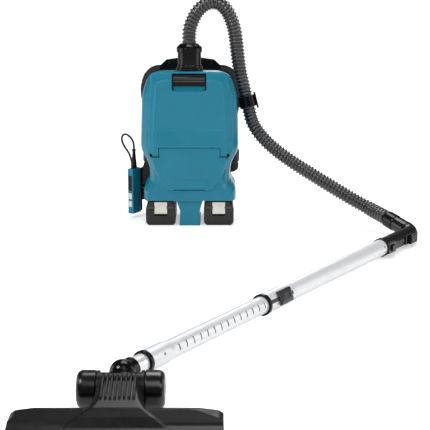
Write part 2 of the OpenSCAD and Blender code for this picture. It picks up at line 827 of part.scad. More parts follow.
module belt_buckle() {
    belt = [[18, 156, 136], [50, 158, 136], [78, 157, 136], [99, 152, 136], [111, 143.2, 136], [120.4, 126.3, 136]];
    color(BLACK) {
        pair() sweep(belt, [[-16, -1.2], [16, -1.2], [16, 1.2], [-16, 1.2]], [0, 0, 1]);
        translate([-24, 150, 116]) cube([48, 12, 40]);
    }
}

module grab_loop() {
    half = [[40, pad_y + 1.5], [31, pad_y + 1.5], [24, pad_y + 8], [12, pad_y + 14], [0, pad_y + 15.5]];
    route = concat(half, [for (i = [3:-1:0]) [-half[i].x, half[i].y]]);
    color(FABRIC) sweep([for (p = route) [p.x, p.y, case_top - 18]],
        [[-10, -1.5], [10, -1.5], [10, 1.5], [-10, 1.5]], [0, 0, 1]);
}

// ---------- hose ----------

clip_at = [half_w + 21, 11, 287];
hose_points = [
    [0, -25, 428], [0, -25, 446], [2, -25, 464], [9, -25, 483], [20, -24, 502], [37, -22, 517],
    [57, -18, 523], [76, -13, 516], [89, -8, 501], [99, -4, 480], [106, 0, 456], [110, 4, 430],
    [114, 8, 396], [119, 11, 362], [125, 12, 335], [131, 12, 310], [137, 11, 286], [143, 8, 262],
    [149, 4, 241], [161, -1, 219], [181, -8, 196], [206, -17, 174], [238, -29, 152], [273, -43, 131],
    [310, -59, 110], [348, -76, 89], [385, -92, 69], [413, -102, 55], [431, -115, 47],
    [444, -130, 42.3], [456.6, -145.2, 37.4]
];
// Keeps the hose beside the case where the clip holds it
hose_route = [for (i = [0:len(hose_points) - 1])
    hose_points[i] + [(clip_at.x - 137) * max(0, 1 - abs(i - 16) / 10), 0, 0]];
module hose() {
    color(GREY) sweep(hose_route, ring(hose_d / 2, 10), [0, 1, 0]);
}

// Clip that holds the hose beside the pack, seated on the case's side
clip_tilt = 14;
clip_l = 26;
module hose_clip() {
    clip_r = hose_d / 2 + 1;
    side_x = half_w - 4 * (clip_at.z - widest_z) / (case_top - 52 - widest_z);
    color(BLACK) {
        difference() {
            union() {
                translate(clip_at) rotate([-4.7, -clip_tilt, 0]) cylinder(r = clip_r + 2.2, h = clip_l, center = true, $fn = 64);
                translate([side_x + seat, clip_at.y, clip_at.z]) rotate([0, -2.1, 0])
                    translate([0, -9, -13]) cube([9, 18, 26]);
            }
            translate(clip_at) rotate([-4.7, -clip_tilt, 0]) cylinder(r = clip_r, h = clip_l + 20, center = true, $fn = 64);
        }
        // flat tab of the clip's latch
        translate(clip_at) rotate([-4.7, -clip_tilt, 0]) translate([clip_r + 1, -11, -20]) cube([5, 22, 38]);
    }
}

// ---------- control unit ----------

control_at = [-(half_w + 21), 26, 12];
case_skin = 2;
module on_control() {
    translate(control_at) rotate([0, 0, -control_turn]) children();
}
function control_plan(d) = rounded(inset([
    [-control_w / 2, -control_d / 2], [control_w / 2, -control_d / 2],
    [control_w / 2, control_d / 2], [-control_w / 2, control_d / 2]], d), [2, 2, 4, 4]);

module control_case() {
    color(TEAL) on_control() difference() {
        linear_extrude(control_h) polygon(control_plan(0));
        translate([0, 0, case_skin]) linear_extrude(control_h - 2 * case_skin) polygon(control_plan(case_skin));
        // window of the label and the two buttons
        translate([-label_w / 2 - 0.2, -control_d / 2 - 1, label_z]) cube([label_w + 0.4, 1.8, 38]);
        for (z = button_zs) translate([-5.2, -control_d / 2 - 1, z - 0.2]) cube([10.4, 5, button_l + 0.4]);
        translate([0, 0, control_h - 4]) cylinder(r = cord_r + 0.2, h = 8, $fn = 32);
    }
}

label_w = 11;
label_z = 56;
button_zs = [17, 36];
button_l = 14;
module control_label() {
    color(GREY) on_control() translate([-label_w / 2, -control_d / 2 + 0.1, label_z]) cube([label_w, 0.7, 37.6]);
}
module control_button(z) {
    color(PALE) on_control() translate([0, 0, z]) {
        translate([-5, -control_d / 2 - 1.4, 0]) cube([10, 5.5, button_l]);
        translate([-5.4, -control_d / 2 + case_skin + 1.6, -0.8]) cube([10.8, 1.2, button_l + 1.6]);
    }
}
module power_button() { control_button(button_zs[1]); }
module mode_button() { control_button(button_zs[0]); }

cord_r = 1.9;
relief_l = 47;
control_top = control_at.z + control_h;
module control_strain_relief() {
    color(BLACK) translate([control_at.x, control_at.y, control_top]) difference() {
        rotate_extrude($fn = 48) polygon(concat(
            [[0, 0], [7.4, 0], [7.2, 3]],
            [for (i = [0:4]) each [[6.8 - i * 0.6, 6 + i * 7], [6.2 - i * 0.6, 8.6 + i * 7]]],
            [[4, relief_l - 4], [5, relief_l - 3], [5, relief_l - 1], [4, relief_l], [0, relief_l]]));
        translate([0, 0, -1]) cylinder(r = cord_r + 0.1, h = relief_l - 2, $fn = 32);
    }
}

// Hook that hangs the control unit on the belt
module control_clip() {
    color(BLACK) on_control() {
        translate([-4, control_d / 2, control_h - 34]) cube([8, 3, 28]);
    }
    color(BLACK) translate([12 + control_at.x, 40.2, 96]) cube([4, 9, 20]);
    color(BLACK) on_control() translate([-4, control_d / 2 + 3, control_h - 34]) cube([8, 5, 8]);
}

control_points = [
    [-137, 26, 169], [-137, 26, 178], [-139, 26, 188], [-145, 26, 198], [-154, 26, 205], [-162, 27, 204],
    [-166, 28, 196], [-165, 30, 186], [-160, 33, 174], [-153, 37, 162], [-147, 41, 148], [-144, 46, 130],
    [-145, 48, 110], [-146, 49, 92], [-144, 49, 79], [-139, 49, 71], [-132, 47, 68], [-126, 43.5, 69], [-120.5, 42, 70], [-115, 42, 70]
];
control_route = [for (p = control_points) p + [control_at.x + 137, 0, 0]];
module control_cord() {
    color(BLACK) sweep(control_route, ring(cord_r, 8), [1, 0, 0]);
}

// Grommet where the cord enters the case's side
module control_gland() {
    color(BLACK) translate([-(half_w - 6) - seat, 42, 70]) rotate([0, -90, 0]) difference() {
        cylinder(r1 = 5, r2 = 3.4, h = 11, $fn = 32);
        translate([0, 0, 3]) cylinder(r = cord_r + 0.4, h = 10, $fn = 32);
    }
}

// ---------- wand ----------

head_x = -76;            // middle of the nozzle
drum_y = -1188;          // axis of the wheels and of the drum
outlet_rise = 28;        // outlet's angle above the floor
outlet_l = 32;           // drum axis to the centre of the elbow
wand_yaw = 31.4;         // turn of the wand from the pack's Y axis
wand_droop = 1.28;       // fall of the wand towards its handle
latch_turn = 22;         // latch side of the wand, above the horizontal
neck_show = 58;          // elbow centre to the mouth of the lower tube
neck_r = 14.75;
bell_l = 48;
mouth_l = 8;

elbow_at = [head_x, drum_y + outlet_l * cos(outlet_rise), wheel_r + outlet_l * sin(outlet_rise)];
upper_r = lower_r + slide_fit + tube_wall;
upper_s = neck_show + lower_show;
handle_s = upper_s + upper_l;

module on_wand() {
    translate(elbow_at) rotate([-(90 + wand_droop), 0, -wand_yaw]) children();
}
module on_latch_side() {
    on_wand() rotate([0, 0, -latch_turn]) children();
}

module lower_tube() {
    bell_r = lower_r + 2;
    inner = lower_r - tube_wall;
    color(SILVER) difference() {
        on_wand() translate([0, 0, neck_show]) rotate_extrude($fn = 96) polygon([
            [neck_r + fit, 0], [bell_r, 0], [bell_r, bell_l], [lower_r, bell_l + 14],
            [lower_r, lower_show + lower_tucked], [inner, lower_show + lower_tucked],
            [inner, bell_l + 16], [neck_r + fit, bell_l + 8]
        ]);
        for (i = [0:slot_count - 1]) on_latch_side() translate([lower_r, 0, neck_show + 74 + i * slot_pitch])
            cube([6, 11.5, 3], center = true);
        on_latch_side() translate([lower_r - 4, 0, neck_show + 30]) rotate([0, 90, 0]) cylinder(r = 2.6, h = 10, $fn = 32);
    }
}

module mouth_ring(bore, outer) {
    rotate_extrude($fn = 96) polygon([
        [bore, 0], [outer - 0.8, 0], [outer, 1], [outer, mouth_l - 1], [outer - 0.6, mouth_l], [bore, mouth_l]
    ]);
}
module lower_collar() {
    color(BLACK) on_wand() translate([0, 0, neck_show - mouth_l]) mouth_ring(neck_r + 0.05, lower_r + 2.7);
}

module upper_tube() {
    bell_r = upper_r + 1.6;
    inner = lower_r + slide_fit;
    color(SILVER) difference() {
        on_wand() translate([0, 0, upper_s]) rotate_extrude($fn = 96) polygon([
            [inner, 0], [bell_r, 0], [bell_r, 84], [upper_r, 94],
            [upper_r, upper_l - 0.2], [inner, upper_l - 0.2]
        ]);
        on_latch_side() translate([upper_r - 4, 0, upper_s + 40]) rotate([0, 90, 0]) cylinder(r = 4, h = 10, $fn = 32);
        on_latch_side() translate([upper_r - 4, 0, handle_s - 12]) rotate([0, 90, 0]) cylinder(r = 2.6, h = 10, $fn = 32);
    }
}

latch_l = 46;
latch_w = 26;
latch_s = 24;            // tube mouth to the latch
module tube_collar() {
    bell_r = upper_r + 1.6;
    color(BLACK) {
        on_wand() translate([0, 0, upper_s - mouth_l]) mouth_ring(lower_r + slide_fit + 0.3, bell_r + 0.8);
        on_latch_side() translate([0, 0, upper_s - 3]) intersection() {
            difference() {
                cylinder(r = bell_r + 1.4, h = 82, $fn = 96);
                translate([0, 0, -1]) cylinder(r = bell_r + 0.1, h = 84, $fn = 96);
            }
            linear_extrude(82) polygon([[0, 0], [30, -5], [30, 5]]);
        }
    }
}

// Thumb slide that frees the lower tube
module tube_latch() {
    saddle = upper_r + 1.6 + 1.4 + seat;
    color(GREY) on_latch_side() translate([0, 0, upper_s + latch_s]) difference() {
        intersection() {
            difference() {
                cylinder(r = saddle + 5, h = latch_l, $fn = 96);
                translate([0, 0, -1]) cylinder(r = saddle, h = latch_l + 2, $fn = 96);
            }
            translate([10, 0, 0]) rotate([90, 0, 0]) linear_extrude(latch_w, center = true)
                polygon([[0, 4], [12, 0], [14, 3], [16.5, 8], [16.5, latch_l - 8], [14, latch_l - 2], [0, latch_l]]);
        }
        // thumb recess
        translate([saddle + 3.4, -4, latch_l / 2 - 5]) cube([6, 8, 16]);
        for (z = [8, 12]) translate([saddle + 4, -15, z]) cube([6, 30, 1.2]);
    }
}

module neck_tube() {
    color(SILVER) on_wand() translate([0, 0, 17]) difference() {
        cylinder(r = neck_r, h = neck_show + bell_l - 19, $fn = 96);
        translate([0, 0, -1]) cylinder(r = neck_r - tube_wall, h = neck_show + bell_l, $fn = 96);
    }
}

// ---------- handle ----------

handle_bore = handle_r - 3;
spigot_l = 40;
bend_reach = handle_bend_r * tan(handle_bend / 2);
bend_roll = 15;          // lifts the hose end of the handle off the floor
bend_lap = 3;            // straight pipes run this far into the slightly fuller bend
tail_l = 50;             // corner of the handle to its hose end
hose_cuff_l = 30;
plug_r = 13.2;           // part of the hose end that turns in the handle

// Frame at the start of the bend, which turns towards +X
module at_bend() {
    on_wand() translate([0, 0, handle_s + handle_l]) rotate([0, 0, 180 + bend_roll]) children();
}
module torus_part(r) {
    translate([handle_bend_r, 0, 0]) rotate([90, 0, 0]) rotate([0, 0, 180 - handle_bend])
        rotate_extrude(angle = handle_bend, $fn = 96) translate([handle_bend_r, 0]) circle(r = r, $fn = 48);
}
module on_tail() {
    at_bend() translate([handle_bend_r * (1 - cos(handle_bend)), 0, handle_bend_r * sin(handle_bend)])
        rotate([0, handle_bend, 0]) translate([0, 0, -bend_reach]) children();
}

module handle_pipe() {
    collar_r = handle_r + 2.4;
    color(BLACK) difference() {
        union() {
            on_wand() translate([0, 0, handle_s - spigot_l])
                cylinder(r = lower_r + slide_fit - 0.1, h = spigot_l + 1, $fn = 96);
            on_wand() translate([0, 0, handle_s]) rotate_extrude($fn = 96) polygon([
                [0, 0], [collar_r - 0.8, 0], [collar_r, 1], [collar_r, 16], [handle_r, 24],
                [handle_r, handle_l + bend_lap], [0, handle_l + bend_lap]
            ]);
            at_bend() torus_part(handle_r + 0.5);
            on_tail() translate([0, 0, bend_reach - bend_lap])
                cylinder(r = handle_r, h = tail_l - bend_reach + bend_lap, $fn = 96);
            // blocks that carry the lock button and the suction slide
            on_wand() translate([0, -11, handle_s + 2]) cube([collar_r + 1.5, 22, 36]);
            on_wand() translate([0, -10, handle_s + 98]) cube([handle_r + 2.5, 20, 54]);
        }
        on_wand() translate([0, 0, handle_s - spigot_l - 1])
            cylinder(r = handle_bore - 0.6, h = spigot_l + handle_l + 1 + bend_lap, $fn = 96);
        at_bend() torus_part(plug_r - 0.6);
        on_tail() translate([0, 0, bend_reach - bend_lap]) cylinder(r = plug_r + fit, h = tail_l, $fn = 96);
        // well of the lock button
        on_wand() translate([handle_r - 1, -6.4, handle_s + 12]) cube([12, 12.8, 16.8]);
        // suction relief hole
        on_wand() translate([0, 0, handle_s + 143]) rotate([0, 90, 0]) cylinder(r = 5, h = 40, $fn = 48);
        // grip grooves round the pipe
        for (i = [0:5]) on_wand() translate([0, 0, handle_s + 50 + i * 8]) rotate_extrude($fn = 96)
            translate([handle_r - 0.6, 0]) square([2, 2]);
    }
}

lock_travel = 2;
module handle_lock_button() {
    color(GREY) on_wand() translate([0, 0, handle_s + 12.4]) {
        translate([handle_r + 1.4, -6, 0]) cube([6, 12, 16]);
    }
}

module suction_slider() {
    color(GREY) on_wand() translate([handle_r + 2.5 + seat, -11, handle_s + 112]) difference() {
        union() {
            cube([5, 22, 38]);
            translate([5, 3, 4]) cube([1.4, 16, 30]);
        }
        for (i = [0:5]) translate([5.4, 2, 7 + i * 4]) cube([3, 18, 1.6]);
    }
}

module hose_end_cuff() {
    color(GREY) on_tail() translate([0, 0, tail_l + 0.4]) rotate_extrude($fn = 96) polygon([
        [plug_r - 2.4, -(tail_l - bend_reach - 2)], [plug_r, -(tail_l - bend_reach - 2)], [plug_r, 0],
        [handle_r + 0.8, 0], [handle_r + 1.4, 2], [handle_r + 1, hose_cuff_l - 4],
        [handle_r, hose_cuff_l - 0.4], [plug_r - 2.4, hose_cuff_l - 0.4]
    ]);
}

// ---------- nozzle head ----------

drum_r = 24.5;
drum_half = hump_w / 2 - 5;
socket_l = 22.5;
elbow_r = 20;
axle_r = 4;

module on_outlet() {
    translate([head_x, drum_y, wheel_r]) rotate([-(90 - outlet_rise), 0, 0]) children();
}

// Elbow between the drum and the wand
module neck_elbow() {
    color(BLACK) difference() {
        union() {
            // ball end, with the neck that turns in the drum's socket
            on_outlet() rotate_extrude($fn = 96) polygon(concat(
                [[0, 11], [socket_r, 11], [socket_r, outlet_l - sqrt(pow(elbow_r, 2) - pow(socket_r, 2))]],
                [for (a = [-24:12:84]) [elbow_r * cos(a), outlet_l + elbow_r * sin(a)]],
                [[0, outlet_l + elbow_r]]));
            on_wand() cylinder(r = neck_r + 2.6, h = 22, $fn = 96);
        }
        on_outlet() translate([0, 0, 8]) cylinder(r = neck_r - 2, h = outlet_l - 8, $fn = 96);
        on_wand() translate([0, 0, -2]) cylinder(r = neck_r - 3, h = 30, $fn = 96);
        on_wand() translate([0, 0, 17]) cylinder(r = neck_r, h = 12, $fn = 96);
    }
}
socket_r = 17;

module nozzle_drum() {
    color(BLACK) difference() {
        union() {
            translate([head_x, drum_y, wheel_r]) x_rod(drum_r, 2 * drum_half, 96);
            on_outlet() cylinder(r = socket_r + 3.4, h = socket_l, $fn = 96);
        }
        // air way: hollow drum, open to the outlet and to the nozzle below
        difference() {
            translate([head_x, drum_y, wheel_r]) x_rod(drum_r - 3, 2 * drum_half - 6, 96);
            translate([head_x, drum_y, wheel_r]) x_rod(axle_r + 3, 2 * drum_half, 48);
        }
        on_outlet() translate([0, 0, 9.6]) cylinder(r = socket_r + fit, h = 30, $fn = 96);
        translate(elbow_at) sphere(r = elbow_r + 0.4, $fn = 64);
        translate([head_x, drum_y, wheel_r]) x_rod(axle_r, 80, 48);
        translate([head_x - 20, drum_y - 30, 8]) cube([40, 22, 22]);
    }
}

axle_l = 2 * (hump_w / 2 + wheel_w) - 8;
module wheel_axle() {
    color(SILVER) translate([head_x, drum_y, wheel_r]) x_rod(axle_r, axle_l, 48);
}

wheel_x = hump_w / 2 + 0.5 + wheel_w / 2;
module wheel() {
    inner = -wheel_w / 2;
    outer = wheel_w / 2;
    difference() {
        rotate([0, 90, 0]) rotate_extrude($fn = 96) polygon(concat(
            [[axle_r + fit, inner], [wheel_r - 1.5, inner], [wheel_r, inner + 1.5], [wheel_r, outer - 9]],
            [for (a = [15:15:75]) [wheel_r - 9 + 9 * cos(a), outer - 9 + 9 * sin(a)]],
            [[wheel_r - 9, outer], [8, outer], [8, outer - 2], [axle_r + 3, outer - 2],
             [0, outer - 2], [0, outer - 4.2], [axle_r + fit, outer - 4.2]]));
    }
}
module wheel_left() {
    color(BLACK) translate([head_x - wheel_x, drum_y, wheel_r]) mirror([1, 0, 0]) wheel();
}
module wheel_right() {
    color(BLACK) translate([head_x + wheel_x, drum_y, wheel_r]) wheel();
}

nozzle_back = drum_y - 74;
nozzle_front = nozzle_back - nozzle_d;
sole_h = 5;
wing_half = nozzle_w / 2;

function hump_ring(w, h) = rounded(mirrored([[w, sole_h + 1], [w - 1, h - 9], [w - 10, h]]), both([1, 6, 6]));

module nozzle_body() {
    wing = [
        [nozzle_front, sole_h], [nozzle_front, 11], [nozzle_front + 8, 15], [nozzle_front + 38, 19],
        [nozzle_front + 42, 22], [nozzle_back - 12, nozzle_h], [nozzle_back - 5, nozzle_h - 1],
        [nozzle_back, nozzle_h - 6], [nozzle_back, sole_h]
    ];
    cheek = hump_w / 2 - drum_half - 0.6;
    color(BLACK) difference() {
        union() {
            // wings, stepped down at their ends
            translate([head_x, 0, 0]) intersection() {
                bar(wing, nozzle_w);
                slab(mirrored([[wing_half, 0], [wing_half, nozzle_h - 11], [wing_half - 6, nozzle_h - 7],
                               [wing_half - 34, nozzle_h - 1], [wing_half - 60, nozzle_h + 1]]),
                    nozzle_front - 5, nozzle_back + 5);
            }
            // hump that rises to the drum and flares into the wings
            translate([head_x, 0, 0]) loft([
                [nozzle_front + 30, hump_ring(86, 17)],
                [nozzle_front + 46, hump_ring(66, 28)],
                [nozzle_back - 14, hump_ring(48, 36)],
                [nozzle_back + 6, hump_ring(39, 42)],
                [nozzle_back + 28, hump_ring(hump_w / 2 + 1, 48)],
                [nozzle_back + 46, hump_ring(hump_w / 2, 52)]
            ]);
            // cover of the drum
            translate([head_x, drum_y, wheel_r]) intersection() {
                x_rod(drum_r + 3, hump_w, 96);
                translate([-hump_w / 2, -40, -wheel_r + sole_h + 1]) cube([hump_w, 48, 80]);
            }
            // ribs over the front of the hump
            for (i = [-3.5:3.5]) translate([head_x + i * 6.6, 0, 0]) bar([
                [nozzle_back + 2, 40], [nozzle_back + 4, 45], [nozzle_back + 24, 51], [nozzle_back + 46, 57],
                [nozzle_back + 60, 58], [nozzle_back + 60, 40]], 2.6);
        }
        // room for the drum, and the duct from the sole
        translate([head_x, drum_y, wheel_r]) x_rod(drum_r + 0.4, 2 * drum_half + 0.8, 96);
        translate([head_x, 0, 0]) bar([
            [nozzle_front + 24, sole_h - 1], [drum_y - 10, sole_h - 1], [drum_y - 10, wheel_r + 6],
            [drum_y - 34, wheel_r + 6], [nozzle_front + 48, sole_h + 9], [nozzle_front + 24, sole_h + 9]], 44);
        translate([head_x - wing_half + 14, nozzle_front + 22, sole_h - 1]) cube([nozzle_w - 28, 34, 9]);
        translate([head_x, drum_y, wheel_r]) x_rod(axle_r + fit, 100, 48);
        // room behind the drum for its tilt
        translate([head_x - drum_half - 0.4, drum_y, wheel_r - 4]) cube([2 * drum_half + 0.8, 60, 80]);
        translate([head_x - drum_half - 0.4, drum_y - 6, wheel_r + 16]) cube([2 * drum_half + 0.8, 60, 30]);
    }
}

slot_y = nozzle_front + 32;
slot_depth = 20;
module sole_plate() {
    color(GREY) difference() {
        translate([head_x - wing_half + 1, nozzle_front + 1, 0]) cube([nozzle_w - 2, nozzle_d - 2, sole_h]);
        translate([head_x - wing_half + 16, slot_y, -1]) cube([nozzle_w - 32, slot_depth, 10]);
        for (y = brush_ys) translate([head_x - wing_half + 12, y, -1]) cube([nozzle_w - 24, 4, 4.5]);
    }
}
brush_ys = [nozzle_front + 20, nozzle_front + 58];
module brush_strips() {
    color(GREY) for (y = brush_ys) translate([head_x - wing_half + 12.2, y + 0.2, 0]) {
        translate([0, 0, 2.4]) cube([nozzle_w - 24.4, 3.6, 1.1]);
        for (i = [0:15]) translate([i * (nozzle_w - 24.4) / 16 + 1, 0.6, 0]) cube([(nozzle_w - 24.4) / 16 - 2, 2.4, 2.5]);
    }
}

main_housing();
rear_cover();
base_tray();
inlet_port();
bag_plate();
dust_bag();
hepa_filter();
motor_housing();
motor();
impeller();
motor_shaft();
control_board();
battery_terminals();
door_seal();
front_door();
latch_bezel();
hinge_pins();
latch_lever();
inlet_cuff();
battery_left();
battery_right();
battery_button_left();
battery_button_right();
back_frame();
back_pad();
shoulder_strap_left();
shoulder_strap_right();
hip_pad_left();
hip_pad_right();
belt_buckle();
grab_loop();
case_screws();
hose_clip();
hose();
hose_end_cuff();
control_case();
control_label();
power_button();
mode_button();
control_strain_relief();
control_clip();
control_cord();
control_gland();
handle_pipe();
handle_lock_button();
suction_slider();
upper_tube();
tube_collar();
tube_latch();
lower_tube();
lower_collar();
neck_tube();
neck_elbow();
nozzle_drum();
wheel_axle();
wheel_left();
wheel_right();
nozzle_body();
sole_plate();
brush_strips();
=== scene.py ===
"""Looks of the backpack vacuum cleaner, in the frame of its CAD model.

Lengths are in metres, but routes, outlines and what goes into mm() are in millimetres, as in the CAD source.
"""
import json
import math

import bmesh
import bpy
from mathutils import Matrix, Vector
from mathutils.bvhtree import BVHTree
from mathutils.kdtree import KDTree


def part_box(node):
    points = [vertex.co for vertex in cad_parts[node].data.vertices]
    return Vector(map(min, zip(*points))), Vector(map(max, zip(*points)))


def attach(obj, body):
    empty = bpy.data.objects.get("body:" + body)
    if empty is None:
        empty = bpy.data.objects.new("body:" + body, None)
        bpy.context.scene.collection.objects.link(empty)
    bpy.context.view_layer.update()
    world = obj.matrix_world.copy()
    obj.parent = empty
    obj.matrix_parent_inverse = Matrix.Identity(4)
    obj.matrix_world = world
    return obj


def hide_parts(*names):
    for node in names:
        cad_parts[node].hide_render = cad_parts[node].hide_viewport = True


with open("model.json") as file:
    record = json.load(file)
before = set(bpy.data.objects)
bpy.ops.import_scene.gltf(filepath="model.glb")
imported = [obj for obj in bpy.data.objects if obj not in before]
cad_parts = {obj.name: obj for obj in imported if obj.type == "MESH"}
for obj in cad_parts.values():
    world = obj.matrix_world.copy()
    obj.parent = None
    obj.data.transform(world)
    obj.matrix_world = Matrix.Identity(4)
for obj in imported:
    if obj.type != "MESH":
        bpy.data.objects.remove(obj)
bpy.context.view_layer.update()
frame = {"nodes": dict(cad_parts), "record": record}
NODES = frame["nodes"]
MM = 0.001
SIDES = (("right", 1), ("left", -1))
ACROSS, BACKWARDS, UP = Vector((1, 0, 0)), Vector((0, 1, 0)), Vector((0, 0, 1))
UPRIGHT = ACROSS, UP, -BACKWARDS
scene = bpy.context.scene


def mm(*p):
    """Point in metres from coordinates in millimetres."""
    return Vector(p) * MM


# ---------- camera ----------

CAMERA_AT = (0.060, -2.790, 0.660)
CAMERA_DOWN = 13.1  # degrees below level
CAMERA_LENS = 98.37
CAMERA_SENSOR = 36
CAMERA_REACH = 100

cam_data = bpy.data.cameras.new("camera")
cam_data.sensor_width = CAMERA_SENSOR
cam_data.lens = CAMERA_LENS
cam_data.clip_end = CAMERA_REACH
camera = bpy.data.objects.new("camera", cam_data)
camera.location = CAMERA_AT
camera.rotation_euler = (math.radians(90 - CAMERA_DOWN), 0, 0)
scene.collection.objects.link(camera)
scene.camera = camera

# ---------- routes of the hose and the cord, in millimetres as in the CAD source ----------

HOSE_ROUTE = [
    (0, -25, 428), (0, -25, 446), (2, -25, 464), (9, -25, 483), (20, -24, 502), (37, -22, 517),
    (57, -18, 523), (76, -13, 516), (89, -8, 501), (99, -4, 480), (106, 0, 456), (110, 4, 430),
    (114, 8, 396), (119, 11, 362), (125, 12, 335), (131, 12, 310), (137, 11, 286), (143, 8, 262),
    (149, 4, 241), (161, -1, 219), (181, -8, 196), (206, -17, 174), (238, -29, 152), (273, -43, 131),
    (310, -59, 110), (348, -76, 89), (385, -92, 69), (413, -102, 55), (431, -115, 47),
    (444, -130, 42.3), (456.6, -145.2, 37.4),
]
CONTROL_ROUTE = [
    (-137, 26, 169), (-137, 26, 178), (-139, 26, 188), (-145, 26, 198), (-154, 26, 205),
    (-162, 27, 204), (-166, 28, 196), (-165, 30, 186), (-160, 33, 174), (-153, 37, 162),
    (-147, 41, 148), (-144, 46, 130), (-145, 48, 110), (-146, 49, 92), (-144, 49, 79),
    (-139, 49, 71), (-132, 47, 68), (-126, 43.5, 69), (-120.5, 42, 70), (-115, 42, 70),
]

SUBSTEPS = 12  # points of the smooth curve from one route point to the next


def chain_length(points):
    """Length of a chain of points."""
    return sum((q - p).length for p, q in zip(points, points[1:]))


def spaced(points, count):
    """First points of count equal stretches along a chain of points."""
    out, want, gone = [points[0].copy()], chain_length(points) / count, 0.0
    for p, q in zip(points, points[1:]):
        d = (q - p).length
        while gone + d >= want * len(out) - 1e-9 and len(out) < count:
            out.append(p.lerp(q, (want * len(out) - gone) / d))
        gone += d
    return out


def smooth_path(route, step):
    """Points about step apart on one smooth curve through a route in millimetres, and the curve's length."""
    pts = [mm(*p) for p in route]
    ends = [2 * pts[0] - pts[1], *pts, 2 * pts[-1] - pts[-2]]
    fine = []
    for a, b, c, d in zip(ends, ends[1:], ends[2:], ends[3:]):
        for k in range(SUBSTEPS):
            t = k / SUBSTEPS
            fine.append(0.5 * (2 * b + (c - a) * t + (2 * a - 5 * b + 4 * c - d) * t * t
                               + (3 * b - a - 3 * c + d) * t ** 3))
    fine.append(pts[-1])
    length = chain_length(fine)
    return [*spaced(fine, max(2, round(length / step))), fine[-1].copy()], length


def tangents(path):
    """Direction of a path at each of its points."""
    last = len(path) - 1
    return [(path[min(i + 1, last)] - path[max(i - 1, 0)]).normalized() for i in range(last + 1)]


def carried(path, side):
    """Sides carried along a path without twist."""
    out = []
    for t in tangents(path):
        side = (side - side.dot(t) * t).normalized()
        out.append(side)
    return out


def mirrored(route, step, side):
    """Smooth path of a route on the right (side 1) or the left (side -1)."""
    return [Vector((side * p.x, p.y, p.z)) for p in smooth_path(route, step)[0]]


def mesh_piece(name, verts, faces, smooth=True, uvs=None):
    """New object; uvs gives each point's place on a map named along."""
    mesh = bpy.data.meshes.new(name)
    mesh.from_pydata(verts, [], faces)
    mesh.polygons.foreach_set("use_smooth", [smooth] * len(mesh.polygons))
    if uvs:
        layer = mesh.uv_layers.new(name="along")
        for loop in mesh.loops:
            layer.data[loop.index].uv = uvs[loop.vertex_index]
    mesh.update()
    obj = bpy.data.objects.new(name, mesh)
    scene.collection.objects.link(obj)
    return obj


def face_outwards(obj):
    """Turns the faces of a closed mesh outwards."""
    bm = bmesh.new()
    bm.from_mesh(obj.data)
    bmesh.ops.recalc_face_normals(bm, faces=bm.faces)
    bm.to_mesh(obj.data)
    bm.free()
    return obj


def skin(rings, n):
    """Faces over rings of n points each, and over both ends."""
    faces = [(i * n + k, i * n + (k + 1) % n, (i + 1) * n + (k + 1) % n, (i + 1) * n + k)
             for i in range(rings - 1) for k in range(n)]
    last = (rings - 1) * n
    return faces + [tuple(range(n))[::-1], tuple(last + k for k in range(n))]


def swept(name, path, sides, sections):
    """Closed mesh swept along a path; sections gives each ring's [(side, up), ...]."""
    verts, uvs = [], []
    gone = 0.0
    for i, (p, s, t) in enumerate(zip(path, sides, tangents(path))):
        up = s.cross(t)
        gone += (p - path[i - 1]).length if i else 0
        for a, b in sections[i]:
            verts.append(p + a * s + b * up)
            uvs.append((a, gone))
    return face_outwards(mesh_piece(name, verts, skin(len(path), len(sections[0])), uvs=uvs))


def circle(r, sides):
    """Ring of (side, up) points for a swept section."""
    return [(r * math.cos(math.tau * k / sides), r * math.sin(math.tau * k / sides)) for k in range(sides)]


# ---------- materials ----------

# Distance between the bands of a wave texture whose scale is 1.
WAVE_PITCH = math.tau / 20


def rgb(code):
    """Linear colour from an sRGB hex code."""
    out = []
    for k in (1, 3, 5):
        c = int(code[k:k + 2], 16) / 255
        out.append(c / 12.92 if c <= 0.04045 else ((c + 0.055) / 1.055) ** 2.4)
    return (*out, 1)


def shade(c, k):
    """Colour made darker or lighter by a factor."""
    return (*[min(1.0, x * k) for x in c[:3]], 1)


